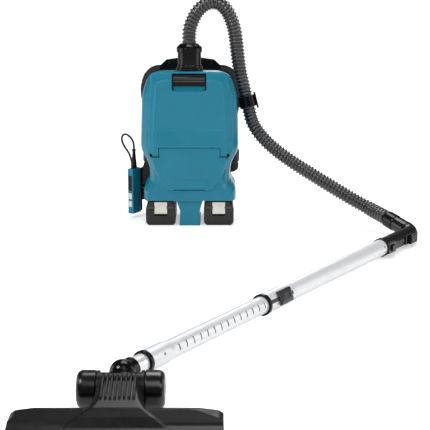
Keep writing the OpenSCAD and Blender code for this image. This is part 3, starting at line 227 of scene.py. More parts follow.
class Maker:
    """Builds one material's nodes. Values may be constants or sockets of other nodes."""

    def __init__(self, name):
        self.mat = bpy.data.materials.new(name)
        self.mat.use_nodes = True
        self.nodes = self.mat.node_tree.nodes
        self.links = self.mat.node_tree.links
        self.bsdf = next(n for n in self.nodes if n.type == "BSDF_PRINCIPLED")
        self.coord = self.add("ShaderNodeTexCoord").outputs["Object"]

    def join(self, value, socket):
        """Links a socket's value, or sets a constant."""
        if isinstance(value, bpy.types.NodeSocket):
            self.links.new(value, socket)
        else:
            socket.default_value = value

    def add(self, kind, inputs=(), **settings):
        """New node with its settings, and its inputs by name or number."""
        node = self.nodes.new(kind)
        for k, v in settings.items():
            setattr(node, k, v)
        for k, v in dict(inputs).items():
            self.join(v, node.inputs[k])
        return node

    def mapped(self, scale, turn=(0, 0, 0)):
        """Place on the object, stretched and turned."""
        inputs = {"Vector": self.coord, "Scale": scale, "Rotation": turn}
        return self.add("ShaderNodeMapping", inputs).outputs[0]

    def along(self):
        """Place on a swept piece: across it, and along it."""
        return self.add("ShaderNodeUVMap", uv_map="along").outputs[0]

    def noise(self, scale, detail=3, rough=0.5, vector=None):
        inputs = {"Vector": vector or self.coord, "Scale": scale, "Detail": detail, "Roughness": rough}
        return self.add("ShaderNodeTexNoise", inputs).outputs["Fac"]

    def cells(self, pitch, vector, spread):
        """Distance from the middle of the nearest cell; spread moves the middles about."""
        inputs = {"Vector": vector, "Scale": 1 / pitch, "Randomness": spread}
        return self.add("ShaderNodeTexVoronoi", inputs, feature="F1").outputs["Distance"]

    def wave(self, pitch, vector, axis):
        """Bands across an axis, a pitch apart."""
        inputs = {"Vector": vector, "Scale": WAVE_PITCH / pitch}
        return self.add("ShaderNodeTexWave", inputs, bands_direction=axis).outputs["Fac"]

    def math(self, op, a, b=0.0, clamp=False):
        return self.add("ShaderNodeMath", {0: a, 1: b}, operation=op, use_clamp=clamp).outputs[0]

    def span(self, value, low, high, to_low=0.0, to_high=1.0):
        """Value mapped from low and high to to_low and to_high, and held between them."""
        inputs = {"Value": value, "From Min": low, "From Max": high, "To Min": to_low, "To Max": to_high}
        return self.add("ShaderNodeMapRange", inputs).outputs[0]

    def mix(self, factor, a, b):
        node = self.add("ShaderNodeMix", data_type="RGBA")
        for socket, v in ((node.inputs[0], factor), (node.inputs[6], a), (node.inputs[7], b)):
            self.join(v, socket)
        return node.outputs[2]

    def between(self, mask, colour, dark, light):
        """Colour that goes from one shade of itself to another as a texture does."""
        return self.mix(self.span(mask, 0.3, 0.7), shade(colour, dark), shade(colour, light))

    def rounded(self, radius):
        """Normal with rounded edges, and a mask of those edges."""
        normal = self.add("ShaderNodeBevel", {"Radius": radius}, samples=4).outputs[0]
        flat = self.add("ShaderNodeNewGeometry").outputs["Normal"]
        dot = self.add("ShaderNodeVectorMath", {0: normal, 1: flat}, operation="DOT_PRODUCT").outputs["Value"]
        return normal, self.span(dot, 1.0, 0.86)

    def bump(self, height, distance, normal=None):
        """Normal of a surface whose texture stands distance high."""
        inputs = {"Height": height, "Distance": distance, "Strength": 1.0}
        if normal is not None:
            inputs["Normal"] = normal
        return self.add("ShaderNodeBump", inputs).outputs[0]

    def out(self, colour, rough, normal=None, **others):
        """Finished material; in the names of others, an underscore stands for a space."""
        given = {"Base Color": colour, "Roughness": rough, "Normal": normal}
        given |= {key.replace("_", " "): v for key, v in others.items()}
        for key, v in given.items():
            if v is not None:
                self.join(v, self.bsdf.inputs[key])
        return self.mat


def moulded(name, colour, rough, vary, grain, depth, edge, wear_and_highlight, wear_and_highlight_gain, coat=0.0, coat_rough=0.1, shine=0.5,
            even=0.0):
    """Moulded plastic: slow colour change, fine grain, rubbed edges with a painted highlight along them,
    uneven gloss.

    vary is the change of colour, grain the scale of the grain and depth its height. edge is the radius of the
    rounded edges, which the next two values show lighter, by a share and a factor, partly as rubbed wear and
    partly as a painted highlight; even is how evenly they are lightened.
    """
    m = Maker(name)
    c = rgb(colour)
    cloud = m.noise(14, 4, 0.6)
    fine = m.noise(grain, 2, 0.7)
    rub = m.noise(60, 4, 0.65)
    normal, edges = m.rounded(edge)
    # Mask of the lighter edges: rubbed wear, and a painted highlight.
    worn_and_highlit = m.math("MULTIPLY", edges, m.span(rub, 0.42, 0.72, even, 1.0), clamp=True)
    base = m.between(cloud, c, 1 - vary, 1 + vary)
    base = m.mix(m.math("MULTIPLY", worn_and_highlit, wear_and_highlight), base, shade(c, wear_and_highlight_gain))
    gloss = m.math("ADD", m.span(rub, 0.25, 0.8, rough * 0.82, rough * 1.22), m.math("MULTIPLY", worn_and_highlit, 0.12))
    return m.out(base, gloss, m.bump(fine, depth, normal), Coat_Weight=coat, Coat_Roughness=coat_rough,
                 Specular_IOR_Level=shine)


def brushed(name, colour, rough, turn=(0, 0, 0), metal=1.0):
    """Drawn metal tube with fine lines along it; turn lays the lines along the tube."""
    m = Maker(name)
    c = rgb(colour)
    lines = m.noise(1.0, 3, 0.6, m.mapped((6, 900, 900), turn))
    smudge = m.noise(22, 4, 0.6)
    normal, _ = m.rounded(0.0006)
    base = m.between(lines, c, 0.9, 1.06)
    base = m.mix(m.math("MULTIPLY", m.span(smudge, 0.55, 0.8), 0.25, clamp=True), base, shade(c, 0.8))
    drawn = m.span(lines, 0.2, 0.8, rough * 0.8, rough * 1.25)
    gloss = m.math("ADD", drawn, m.span(smudge, 0.3, 0.9, 0, 0.08))
    return m.out(base, gloss, m.bump(lines, 0.00003, normal), Metallic=metal)


def woven(name, colour, pitch, along=False, sheen=0.35):
    """Fabric with a plain weave, a pitch from thread to thread; along lays it along a strap."""
    m = Maker(name)
    c = rgb(colour)
    source = m.along() if along else m.coord
    over = m.math("MAXIMUM", m.wave(pitch, source, "X"), m.wave(pitch, source, "Y" if along else "Z"))
    fuzz = m.noise(2600, 3, 0.7)
    cloud = m.noise(26, 4, 0.6)
    base = m.between(cloud, c, 0.84, 1.16)
    base = m.mix(m.span(over, 0.2, 0.9, 0.55, 0.0), base, shade(c, 0.35))
    base = m.mix(m.span(fuzz, 0.55, 0.8, 0.0, 0.35), base, shade(c, 2.2))
    height = m.math("ADD", over, m.math("MULTIPLY", fuzz, 0.5))
    return m.out(base, m.span(fuzz, 0.2, 0.8, 0.77, 0.93), m.bump(height, 0.00035), Sheen_Weight=sheen,
                 Sheen_Roughness=0.4)


def air_mesh(name, colour, pitch, sheen):
    """Knitted spacer mesh with open cells."""
    m = Maker(name)
    c = rgb(colour)
    cell = m.cells(pitch, m.mapped((1, 1, 1.35)), 0.35)
    fuzz = m.noise(2400, 3, 0.7)
    cloud = m.noise(24, 4, 0.6)
    base = m.between(cloud, c, 0.85, 1.2)
    base = m.mix(m.span(cell, 0.18, 0.42, 0.75, 0.0), base, shade(c, 0.3))
    base = m.mix(m.span(fuzz, 0.55, 0.8, 0.0, 0.3), base, shade(c, 2.0))
    height = m.math("ADD", m.span(cell, 0.1, 0.45), m.math("MULTIPLY", fuzz, 0.3))
    return m.out(base, m.span(fuzz, 0.2, 0.8, 0.8, 0.98), m.bump(height, 0.0006), Sheen_Weight=sheen,
                 Sheen_Roughness=0.4)


def ribbed(name, crest, groove_shade, pitch):
    """Corrugated hose: glossy crests, and grooves painted dark as shade."""
    m = Maker(name)
    along = m.add("ShaderNodeSeparateXYZ", {0: m.along()}).outputs["Y"]
    phase = m.math("FRACT", m.math("DIVIDE", along, pitch))
    # Share of painted shade, growing into each groove between the ribs.
    groove_shade_mask = m.span(m.math("ABSOLUTE", m.math("SUBTRACT", phase, 0.5)), 0.12, 0.30)
    cloud = m.noise(30, 4, 0.6)
    fine = m.noise(900, 2, 0.7)
    base = m.mix(groove_shade_mask, m.between(cloud, rgb(crest), 0.72, 1.1), rgb(groove_shade))
    gloss = m.math("ADD", m.span(cloud, 0.25, 0.8, 0.12, 0.2), m.math("MULTIPLY", groove_shade_mask, 0.3))
    return m.out(base, gloss, m.bump(fine, 0.00003), Specular_IOR_Level=0.4, Coat_Weight=0.7,
                 Coat_Roughness=0.1)


RIB_PITCH = 0.0086
WAND_TURN = (0, 0, -math.radians(58.6))
# Each entry's lighter rounded edges are partly rubbed wear and partly a painted highlight.
MOULDED = {
    # teal_shell: its lighter rounded edges are chiefly a painted highlight.
    "teal_shell": dict(colour="#20758c", rough=0.24, vary=0.05, grain=1400, depth=0.00002, edge=0.0026,
                       wear_and_highlight=0.85, wear_and_highlight_gain=2.8, coat=0.15, coat_rough=0.06, shine=0.14, even=0.65),
    "black_plastic": dict(colour="#070708", rough=0.16, vary=0.15, grain=1100, depth=0.00003, edge=0.0014,
                          wear_and_highlight=0.5, wear_and_highlight_gain=5.0, shine=0.22),
    "handle_plastic": dict(colour="#080808", rough=0.24, vary=0.15, grain=1200, depth=0.00002, edge=0.0020,
                           wear_and_highlight=0.5, wear_and_highlight_gain=5.0, shine=0.5),
    "nozzle_plastic": dict(colour="#09090a", rough=0.35, vary=0.06, grain=1000, depth=0.00003, edge=0.0030,
                           wear_and_highlight=0.5, wear_and_highlight_gain=6.0, shine=0.25, even=0.85),
    "lever_grey": dict(colour="#101011", rough=0.14, vary=0.12, grain=1100, depth=0.00002, edge=0.0016,
                       wear_and_highlight=0.5, wear_and_highlight_gain=4.0, shine=0.25),
    "thumb_grey": dict(colour="#2c2c2e", rough=0.30, vary=0.10, grain=1100, depth=0.00003, edge=0.0016,
                       wear_and_highlight=0.5, wear_and_highlight_gain=2.6, shine=0.3),
    "cord_skin": dict(colour="#0c0c0d", rough=0.4, vary=0.2, grain=1500, depth=0.00004, edge=0.0004, wear_and_highlight=0.2,
                      wear_and_highlight_gain=2.0, shine=0.3),
    "battery_case": dict(colour="#1a1819", rough=0.22, vary=0.14, grain=900, depth=0.00004, edge=0.0018,
                         wear_and_highlight=0.5, wear_and_highlight_gain=4.0, shine=0.4),
    "pale_button": dict(colour="#d2d0c6", rough=0.5, vary=0.05, grain=500, depth=0.00012, edge=0.0010,
                        wear_and_highlight=0.2, wear_and_highlight_gain=1.15),
    # wheel_tread: its lighter rounded edges are chiefly a painted highlight.
    "wheel_tread": dict(colour="#0a0a0a", rough=0.22, vary=0.15, grain=600, depth=0.00004, edge=0.0034,
                        wear_and_highlight=0.6, wear_and_highlight_gain=6.0, shine=0.5),
    # sole_grey also colours the painted highlights on the latch lever and the batteries.
    "sole_grey": dict(colour="#3a3b3d", rough=0.45, vary=0.12, grain=900, depth=0.00006, edge=0.0010,
                      wear_and_highlight=0.5, wear_and_highlight_gain=2.2),
    "bristle": dict(colour="#151515", rough=0.7, vary=0.25, grain=2500, depth=0.0002, edge=0.0003, wear_and_highlight=0.2,
                    wear_and_highlight_gain=2.0),
    # seal_rubber also colours the painted shadow along the door's seam.
    "seal_rubber": dict(colour="#141414", rough=0.7, vary=0.2, grain=800, depth=0.00008, edge=0.0008,
                        wear_and_highlight=0.2, wear_and_highlight_gain=2.0),
    "filter_paper": dict(colour="#d9d6cc", rough=0.9, vary=0.06, grain=1600, depth=0.0001, edge=0.0003,
                         wear_and_highlight=0.1, wear_and_highlight_gain=1.05),
    "bag_card": dict(colour="#c9b894", rough=0.85, vary=0.08, grain=1200, depth=0.0001, edge=0.0004, wear_and_highlight=0.1,
                     wear_and_highlight_gain=1.1),
    "fan_plastic": dict(colour="#3c3c3e", rough=0.4, vary=0.12, grain=900, depth=0.00005, edge=0.0008,
                        wear_and_highlight=0.3, wear_and_highlight_gain=2.0),
    "board_green": dict(colour="#1d5a34", rough=0.45, vary=0.15, grain=1200, depth=0.00004, edge=0.0004,
                        wear_and_highlight=0.2, wear_and_highlight_gain=1.6),
}
BRUSHED = {
    "wand_tube": dict(colour="#e6e7e9", rough=0.30, turn=WAND_TURN, metal=0.35),
    "neck_metal": dict(colour="#f0f0f0", rough=0.2, turn=WAND_TURN, metal=0.45),
    "steel": dict(colour="#bcbcbe", rough=0.25),
    "motor_metal": dict(colour="#a9a9ac", rough=0.35),
}
MATERIALS = {
    **{name: moulded(name, **looks) for name, looks in MOULDED.items()},
    **{name: brushed(name, **looks) for name, looks in BRUSHED.items()},
    # hose_skin: the second colour is painted shade for the grooves.
    "hose_skin": ribbed("hose_skin", "#444446", "#030303", RIB_PITCH),
    "harness_fabric": woven("harness_fabric", "#101112", 0.0016, sheen=0.15),
}
AIR_MESH = air_mesh("pad_mesh", "#101112", 0.0030, sheen=0.12)
WEBBING = woven("webbing", "#0f1011", 0.0022, along=True, sheen=0.2)
BINDING = woven("binding", "#121314", 0.0012)
THREAD = woven("thread", "#2b2c2f", 0.0004)

LOOK_OF = {s["node"]: s["material_slot"] for s in frame["record"]["subparts"]}
LOOK_OF["tube_latch"] = "thumb_grey"  # paler than the wand's other plastics
for node, obj in NODES.items():
    for holder in obj.material_slots:
        holder.material = MATERIALS[LOOK_OF[node]]


def place(obj, material, body="pack"):
    """Gives a new piece its material, body and slot."""
    obj.data.materials.clear()
    obj.data.materials.append(material)
    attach(obj, body)
    return obj


# ---------- hose and cord ----------

HOSE_VALLEY = 0.0142  # radius between two ribs
HOSE_RIB = 0.0029  # how far a rib stands out
HOSE_END = 0.0158  # plain radius at each end
HOSE_END_LENGTH = 0.004
CREST_GAIN, CREST_POWER = 1.3, 0.6  # flatten a rib's top and steepen its sides
HOSE_SIDES, HOSE_STEP = 30, 0.00085
CORD_RADIUS = 0.0025
CORD_SIDES, CORD_STEP = 16, 0.002


def build_hose():
    """Corrugated hose with round-topped ribs and a plain stretch at each end."""
    path, length = smooth_path(HOSE_ROUTE, HOSE_STEP)
    sections = []
    for i in range(len(path)):
        s = i * length / (len(path) - 1)
        crest = max(0.0, math.cos(math.tau * (s / RIB_PITCH % 1.0 - 0.5)))
        r = HOSE_VALLEY + HOSE_RIB * min(1.0, CREST_GAIN * crest ** CREST_POWER)
        plain = min(1.0, max(0.0, (HOSE_END_LENGTH - min(s, length - s)) / HOSE_END_LENGTH))
        sections.append(circle(r * (1 - plain) + HOSE_END * plain, HOSE_SIDES))
    obj = swept("hose_corrugated", path, carried(path, BACKWARDS), sections)
    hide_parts("hose")
    place(obj, MATERIALS["hose_skin"], "pack")


def build_control_cord():
    """Smooth cord from the control unit's top, in a loop behind it, into the case."""
    path, length = smooth_path(CONTROL_ROUTE, CORD_STEP)
    rings = [circle(CORD_RADIUS, CORD_SIDES)] * len(path)
    obj = swept("control_cord_skin", path, carried(path, BACKWARDS), rings)
    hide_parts("control_cord")
    place(obj, MATERIALS["cord_skin"], "pack")


build_hose()
build_control_cord()

# ---------- padded pieces ----------

PAD_CAP = 0.006  # furthest that a point of a pad may swell
CLOTH_FRAMES = 20
FRAME_BACK = 0.0813  # depth of the flat back of the frame behind the case
FRAME_HALF_WIDTH = 0.078
FRAME_GAP = 0.00035
PAD_JOBS = []


def apply_modifiers(obj):
    """Keeps what the modifiers make as the object's own smooth mesh."""
    graph = bpy.context.evaluated_depsgraph_get()
    mesh = bpy.data.meshes.new_from_object(obj.evaluated_get(graph))
    obj.modifiers.clear()
    obj.data = mesh
    mesh.polygons.foreach_set("use_smooth", [True] * len(mesh.polygons))


def subdivide(obj):
    """Adds one level of subdivision."""
    finer = obj.modifiers.new("finer", "SUBSURF")
    finer.levels = finer.render_levels = 1


def keep_off_frame(p):
    """Point brought back where it would sink into the frame behind the case."""
    limit = FRAME_BACK + FRAME_GAP
    if abs(p.x) < FRAME_HALF_WIDTH and p.y < limit:
        return Vector((p.x, limit, p.z))
    return p


def stuff(obj, pressure, voxel):
    """Queues a blank for swelling, with its faces about a voxel wide."""
    remesh = obj.modifiers.new("remesh", "REMESH")
    remesh.mode, remesh.voxel_size = "VOXEL", voxel
    apply_modifiers(obj)
    PAD_JOBS.append((obj, pressure, [v.co.copy() for v in obj.data.vertices]))


def add_cloth(obj, pressure):
    """Cloth that swells under pressure alone, without weight."""
    cloth = obj.modifiers.new("cloth", "CLOTH")
    s = cloth.settings
    s.quality, s.mass = 6, 0.3
    s.tension_stiffness = s.compression_stiffness = 12
    s.shear_stiffness, s.bending_stiffness = 6, 0.5
    s.use_pressure, s.uniform_pressure_force = True, pressure
    s.effector_weights.gravity = 0
    cloth.collision_settings.use_collision = False
    cloth.point_cache.frame_start, cloth.point_cache.frame_end = 1, CLOTH_FRAMES


def swell_all():
    """Runs the cloth of all queued pads together; no point moves further than PAD_CAP."""
    for obj, pressure, _ in PAD_JOBS:
        add_cloth(obj, pressure)
    for f in range(1, CLOTH_FRAMES + 1):
        scene.frame_set(f)
    for obj, *_ in PAD_JOBS:
        apply_modifiers(obj)
    scene.frame_set(1)
    for obj, _, rest in PAD_JOBS:
        for v, r in zip(obj.data.vertices, rest):
            d = v.co - r
            if d.length > PAD_CAP:
                d *= PAD_CAP / d.length
            v.co = keep_off_frame(r + d)
        subdivide(obj)
        apply_modifiers(obj)
    PAD_JOBS.clear()


def press_seams(obj, seam_of, depth, half_width):
    """Draws a pad in along its seams; seam_of(point) gives the distance to the nearest one."""
    obj.data.update()
    normals = [v.normal.copy() for v in obj.data.vertices]
    for v, n in zip(obj.data.vertices, normals):
        d = seam_of(v.co)
        if d < 3 * half_width:
            v.co -= n * depth * math.exp(-(d / half_width) ** 2)
    obj.data.update()


def seams_by_side(path, sides, offsets):
    """Gives the distance from a point to the lines that run along a path at these side offsets."""
    tree = KDTree(len(path))
    for i, p in enumerate(path):
        tree.insert(p, i)
    tree.balance()

    def distance(p):
        _, i, _ = tree.find(p)
        a = (p - path[i]).dot(sides[i])
        return min(abs(a - o) for o in offsets)
    return distance


STITCH_SPACING = 0.0042
STITCH_HALF_LENGTH = STITCH_SPACING * 0.36
STITCH_HALF_WIDTH = 0.00038
STITCH_HEIGHT = 0.0006
# One stitch: each corner's share of the half length, half width and height.
STITCH_CORNERS = ((-1, 0, 0.0), (-0.55, 1, 0.35), (0.55, 1, 0.35), (1, 0, 0.0), (0.55, -1, 0.35),
                  (-0.55, -1, 0.35), (-0.5, 0, 1.0), (0.5, 0, 1.0))
STITCH_FACES = ((0, 1, 6), (1, 2, 7, 6), (2, 3, 7), (3, 4, 7), (4, 5, 6, 7), (5, 0, 6))


def stitches(name, lines):
    """Short raised threads along lines of (point, normal)."""
    verts, faces = [], []
    for line in lines:
        gone = STITCH_SPACING / 2
        for (p, n), (q, _) in zip(line, line[1:]):
            d = (q - p).length
            t = (q - p).normalized()
            while gone < d:
                at = p + t * gone
                side = n.cross(t).normalized()
                faces += [[len(verts) + k for k in face] for face in STITCH_FACES]
                verts += [at + t * STITCH_HALF_LENGTH * along + side * STITCH_HALF_WIDTH * wide
                          + n * (lift * STITCH_HEIGHT) for along, wide, lift in STITCH_CORNERS]
                gone += STITCH_SPACING
            gone -= d
    return place(mesh_piece(name, verts, faces), THREAD)


SKIN_REACH = 0.06  # well outside a strap pad's skin


def skin_over(tree, starts, ways):
    """(point, normal) of the pad's skin over each start inside it, skipping misses."""
    out = []
    for p, d in zip(starts, ways):
        at, normal, _, _ = tree.ray_cast(p + d * SKIN_REACH, -d, SKIN_REACH * 1.2)
        if at is not None:
            out.append((at, normal if normal.dot(d) > 0 else -normal))
    return out


BINDING_RADIUS = 0.0017
BINDING_SIDES = 10
BINDING_INSET = 0.0008
EDGE_REACH = 0.09  # well outside a strap pad's edge


def edging(name, points):
    """Narrow bound edge round a pad, as a closed tube."""
    n, ring = len(points), BINDING_SIDES
    verts, faces = [], []
    for i, p in enumerate(points):
        t = (points[(i + 1) % n] - points[i - 1]).normalized()
        a = (a - a.dot(t) * t if i else t.orthogonal()).normalized()
        b = t.cross(a)
        verts += [p + a * x + b * y for x, y in circle(BINDING_RADIUS, ring)]
    start, last = verts[0] - points[0], (n - 1) * ring
    twist = min(range(ring), key=lambda k: (verts[last + k] - points[-1] - start).length)
    for i in range(n):
        after = (i + 1) % n
        turn = 0 if after else twist
        for k in range(ring):
            a, b = i * ring + (k + turn) % ring, i * ring + (k + 1 + turn) % ring
            faces.append((a, b, after * ring + (k + 1) % ring, after * ring + k))
    return place(mesh_piece(name, verts, faces), BINDING, "pack")


# ---------- harness ----------

STRAP_ROUTE = [(44, 85.6, 338), (64, 96, 347), (86, 106, 344), (102, 113, 328), (108, 118, 302),
               (106, 122, 268), (99, 123, 230), (90, 119, 200), (82, 112, 180)]
WEB_ROUTE = [(83, 113, 184), (77, 109, 176), (63, 102, 169), (51, 92, 156), (52, 84.4, 144),
             (53, 82.8, 130), (53, 82.8, 112)]
HIP_ROUTE = [(64, 86.8, 132), (86, 88, 133), (104, 95, 134), (112, 108, 135), (112, 124, 136),
             (104, 139, 136)]
BELT_ROUTE = [(18, 156, 136), (50, 158, 136), (78, 157, 136), (99, 152, 136), (111, 143.2, 136),
              (120.4, 126.3, 136)]
GRAB_ROUTE = [(40, 83.1, 348), (31, 83.1, 348), (24, 89.6, 348), (12, 95.6, 348), (0, 97.1, 348),
              (-12, 95.6, 348), (-24, 89.6, 348), (-31, 83.1, 348), (-40, 83.1, 348)]
BACK_OUTLINE = [(36, 136), (40, 166), (58, 190), (58, 216), (48, 314), (30, 322)]
BACK_RINGS = ((82.0, 3), (84.5, 1), (89.0, 1), (92.5, 3), (93.8, 9))  # each one's depth and inset
BACK_STEPS = 72
CORNER_CUTS = 3  # rounds in which every corner of the back pad's outline is cut
PAD_STEP, WEB_STEP, LOOP_STEP = 0.006, 0.004, 0.003

# Strap pads: half width, half thickness, length of the narrowing end, and the end's share of the width.
SHOULDER_SIZE = 0.0222, 0.0042, 0.030, 0.55
HIP_SIZE = 0.0350, 0.0046, 0.028, 0.62
END_THICKNESS = 0.45
OVAL_POINTS, OVAL_POWER = 20, 0.6
STRAP_PRESSURE, STRAP_VOXEL = 3.0, 0.004
BACK_PRESSURE, BACK_VOXEL = 4.0, 0.0045

# Seams of a strap pad, by their distance from its middle, and the back pad's sewn channels.
SHOULDER_SEAM, HIP_SEAM = 0.013, 0.014
SEAM_DEPTH, SEAM_HALF_WIDTH = 0.0016, 0.0022
STITCH_MARGIN = 3
CHANNELS = (0.170, 0.206, 0.242, 0.278)
MIDDLE_TOP = 0.30  # top of the channel down the middle
WEARER_SIDE = 0.088  # only what lies behind this depth has channels
CHANNEL_DEPTH, CHANNEL_HALF_WIDTH = 0.0030, 0.0030
FAR = 1.0  # a distance at which no seam is felt

# Webbing: half width and half thickness.
STRAP_WEB = 0.0100, 0.0009
BELT_WEB = 0.0160, 0.0012
LOOP_WEB = 0.0100, 0.0015
EDGE_ROLL, EDGE_THICKNESS = 0.8, 0.35  # shares of the half thickness
ADJUSTER_POINT = 2  # place of the adjuster on the webbing's path
ADJUSTER_LIP_RISE = 0.0012


def oval(half_w, half_t):
    """Rounded rectangle, as (side, up) points."""
    out = []
    for k in range(OVAL_POINTS):
        a = math.tau * k / OVAL_POINTS
        c, s = math.cos(a), math.sin(a)
        across, up = (math.copysign(abs(v) ** OVAL_POWER, v) for v in (c, s))
        out.append((half_w * across, half_t * up))
    return out


def strap_blank(name, path, sides, half_w, half_t, taper, end_w):
    """Flat strap that narrows to end_w of its width over the last taper of its length."""
    last = len(path) - 1
    length = chain_length(path)
    sections = []
    for i in range(last + 1):
        s = length * i / last
        k = math.sin(min(1.0, min(s, length - s) / taper) * math.pi / 2)
        w, t = (end + (1 - end) * k for end in (end_w, END_THICKNESS))
        sections.append(oval(half_w * w, half_t * t))
    return swept(name, path, sides, sections)


def strap_pad(name, node, path, sides, size):
    """Queues a padded strap that stands for a CAD node."""
    pad = strap_blank(name, path, sides, *size)
    stuff(pad, STRAP_PRESSURE, STRAP_VOXEL)
    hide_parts(node)
    return pad, path, sides


def finish_strap_pad(pad, path, sides, seam, fill):
    """Two stitched seams on each face of a swelled strap, seam away from its middle, and a bound edge."""
    offsets = (-seam, seam)
    press_seams(pad, seams_by_side(path, sides, offsets), SEAM_DEPTH, SEAM_HALF_WIDTH)
    place(pad, AIR_MESH, "pack")
    points = [v.co for v in pad.data.vertices]
    tree = BVHTree.FromPolygons(points, [tuple(p.vertices) for p in pad.data.polygons])
    stitched = slice(STITCH_MARGIN, -STITCH_MARGIN)
    lines = []
    for o in offsets:
        for sign in (1, -1):
            starts = [p + s * o for p, s in zip(path, sides)]
            ways = [s.cross(t) * sign for s, t in zip(sides, tangents(path))]
            lines.append(skin_over(tree, starts[stitched], ways[stitched]))
    stitches(pad.name + "_stitches", lines)
    middle = list(zip(path, sides))[1:-1]
    outline = []
    for p, out in middle + [(p, -s) for p, s in middle[::-1]]:
        at, _, _, _ = tree.ray_cast(p + out * EDGE_REACH, -out, EDGE_REACH)
        if at is not None:
            outline.append(at - out * BINDING_INSET)
    edging(pad.name + "_binding", outline)


def back_outline(inset):
    """Smooth closed outline of the back pad, in metres."""
    pts = [Vector(p) for p in BACK_OUTLINE] + [Vector((-x, z)) for x, z in BACK_OUTLINE[::-1]]
    for _ in range(CORNER_CUTS):
        pts = [q for a, b in zip(pts, pts[1:] + pts[:1]) for q in (a.lerp(b, 0.25), a.lerp(b, 0.75))]
    line = spaced(pts + pts[:1], BACK_STEPS)
    out = []
    for i, p in enumerate(line):
        t = (line[(i + 1) % BACK_STEPS] - line[i - 1]).normalized()
        out.append((p + Vector((-t.y, t.x)) * inset) * MM)
    return out


def back_pad_blank():
    """Back pad before it is swelled, through rings that are drawn in at both faces."""
    verts = [Vector((p.x, y * MM, p.y)) for y, inset in BACK_RINGS for p in back_outline(inset)]
    return face_outwards(mesh_piece("back_pad_padded", verts, skin(len(BACK_RINGS), BACK_STEPS)))


def back_seams(p):
    """Distance to the back pad's sewn channels: one down the middle, four across."""
    if p.y < WEARER_SIDE:
        return FAR
    return min([abs(p.x) if p.z < MIDDLE_TOP else FAR] + [abs(p.z - z) for z in CHANNELS])


def build_pads():
    """Shoulder, hip and back pads, swelled together and then sewn."""
    straps = []
    for tag, side in SIDES:
        path = mirrored(STRAP_ROUTE, PAD_STEP, side)
        sides = carried(path, Vector((-0.5 * side, 0, 0.85)))
        pad = strap_pad(f"shoulder_pad_{tag}", f"shoulder_strap_{tag}", path, sides, SHOULDER_SIZE)
        straps.append((*pad, SHOULDER_SEAM, 0.45))
        path = mirrored(HIP_ROUTE, PAD_STEP, side)
        sides = carried(path, UP)
        pad = strap_pad(f"hip_pad_{tag}_padded", f"hip_pad_{tag}", path, sides, HIP_SIZE)
        straps.append((*pad, HIP_SEAM, 0.5))
    back = back_pad_blank()
    stuff(back, BACK_PRESSURE, BACK_VOXEL)
    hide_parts("back_pad")
    swell_all()
    for strap in straps:
        finish_strap_pad(*strap)
    press_seams(back, back_seams, CHANNEL_DEPTH, CHANNEL_HALF_WIDTH)
    place(back, AIR_MESH, "pack")


def ribbon(name, path, sides, half_w, half_t):
    """Flat webbing with rolled edges."""
    edge = half_t * EDGE_ROLL
    row = [-half_w, -half_w + edge, -half_w * 0.5, 0.0, half_w * 0.5, half_w - edge, half_w]
    top = [half_t * (EDGE_THICKNESS if abs(a) == half_w else 1.0) for a in row]
    section = [(a, -t) for a, t in zip(row, top)] + [(a, t) for a, t in zip(row[::-1], top[::-1])]
    obj = swept(name, path, sides, [section] * len(path))
    subdivide(obj)
    return place(obj, WEBBING, "pack")


def build_webbing():
    """Lower straps with their adjusters, the belt's two halves and the carrying loop."""
    for tag, side in SIDES:
        path = mirrored(WEB_ROUTE, WEB_STEP, side)
        sides = [(Vector((side, 0, 0)) - t * (side * t.x)).normalized() for t in tangents(path)]
        ribbon(f"strap_webbing_{tag}", path, sides, *STRAP_WEB)
        build_adjuster(tag, path, sides, ADJUSTER_POINT)
        belt = mirrored(BELT_ROUTE, WEB_STEP, side)
        ribbon(f"belt_webbing_{tag}", belt, carried(belt, UP), *BELT_WEB)
    loop, _ = smooth_path(GRAB_ROUTE, LOOP_STEP)
    grab = ribbon("grab_webbing", loop, carried(loop, UP), *LOOP_WEB)
    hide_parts("grab_loop")


SMALL_FACE = 12  # faces below this many squares of the edge radius belong to the rounded edges


def moulding(name, outlines, origin, axes, thick, soft=0.9, body="pack", material="black_plastic"):
    """Flat moulded part: outlines on the first two axes, thick either side along the third.

    soft is the radius of its rounded edges. Like thick and the outlines it is in millimetres.
    """
    u, v, w = axes
    verts, faces = [], []
    for line in outlines:
        base, n = len(verts), len(line)
        for lift in (-thick, thick):
            verts += [origin + (u * a + v * b + w * lift) * MM for a, b in line]
        faces.append([base + k for k in range(n)][::-1])
        faces.append([base + n + k for k in range(n)])
        faces += [(base + k, base + (k + 1) % n, base + n + (k + 1) % n, base + n + k) for k in range(n)]
    obj = face_outwards(mesh_piece(name, verts, faces, smooth=False))
    bevel = obj.modifiers.new("soft", "BEVEL")
    bevel.width, bevel.segments, bevel.limit_method = soft * MM, 3, "ANGLE"
    apply_modifiers(obj)
    for face in obj.data.polygons:
        face.use_smooth = face.area < SMALL_FACE * (soft * MM) ** 2
    return place(obj, MATERIALS[material], body)


def both_ways(line):
    """Outline that goes on with its own mirror image below the first axis."""
    return line + [(a, -b) for a, b in reversed(line)]


def box_line(a0, a1, b0, b1):
    """Outline of a rectangle."""
    return [(a0, b0), (a1, b0), (a1, b1), (a0, b1)]


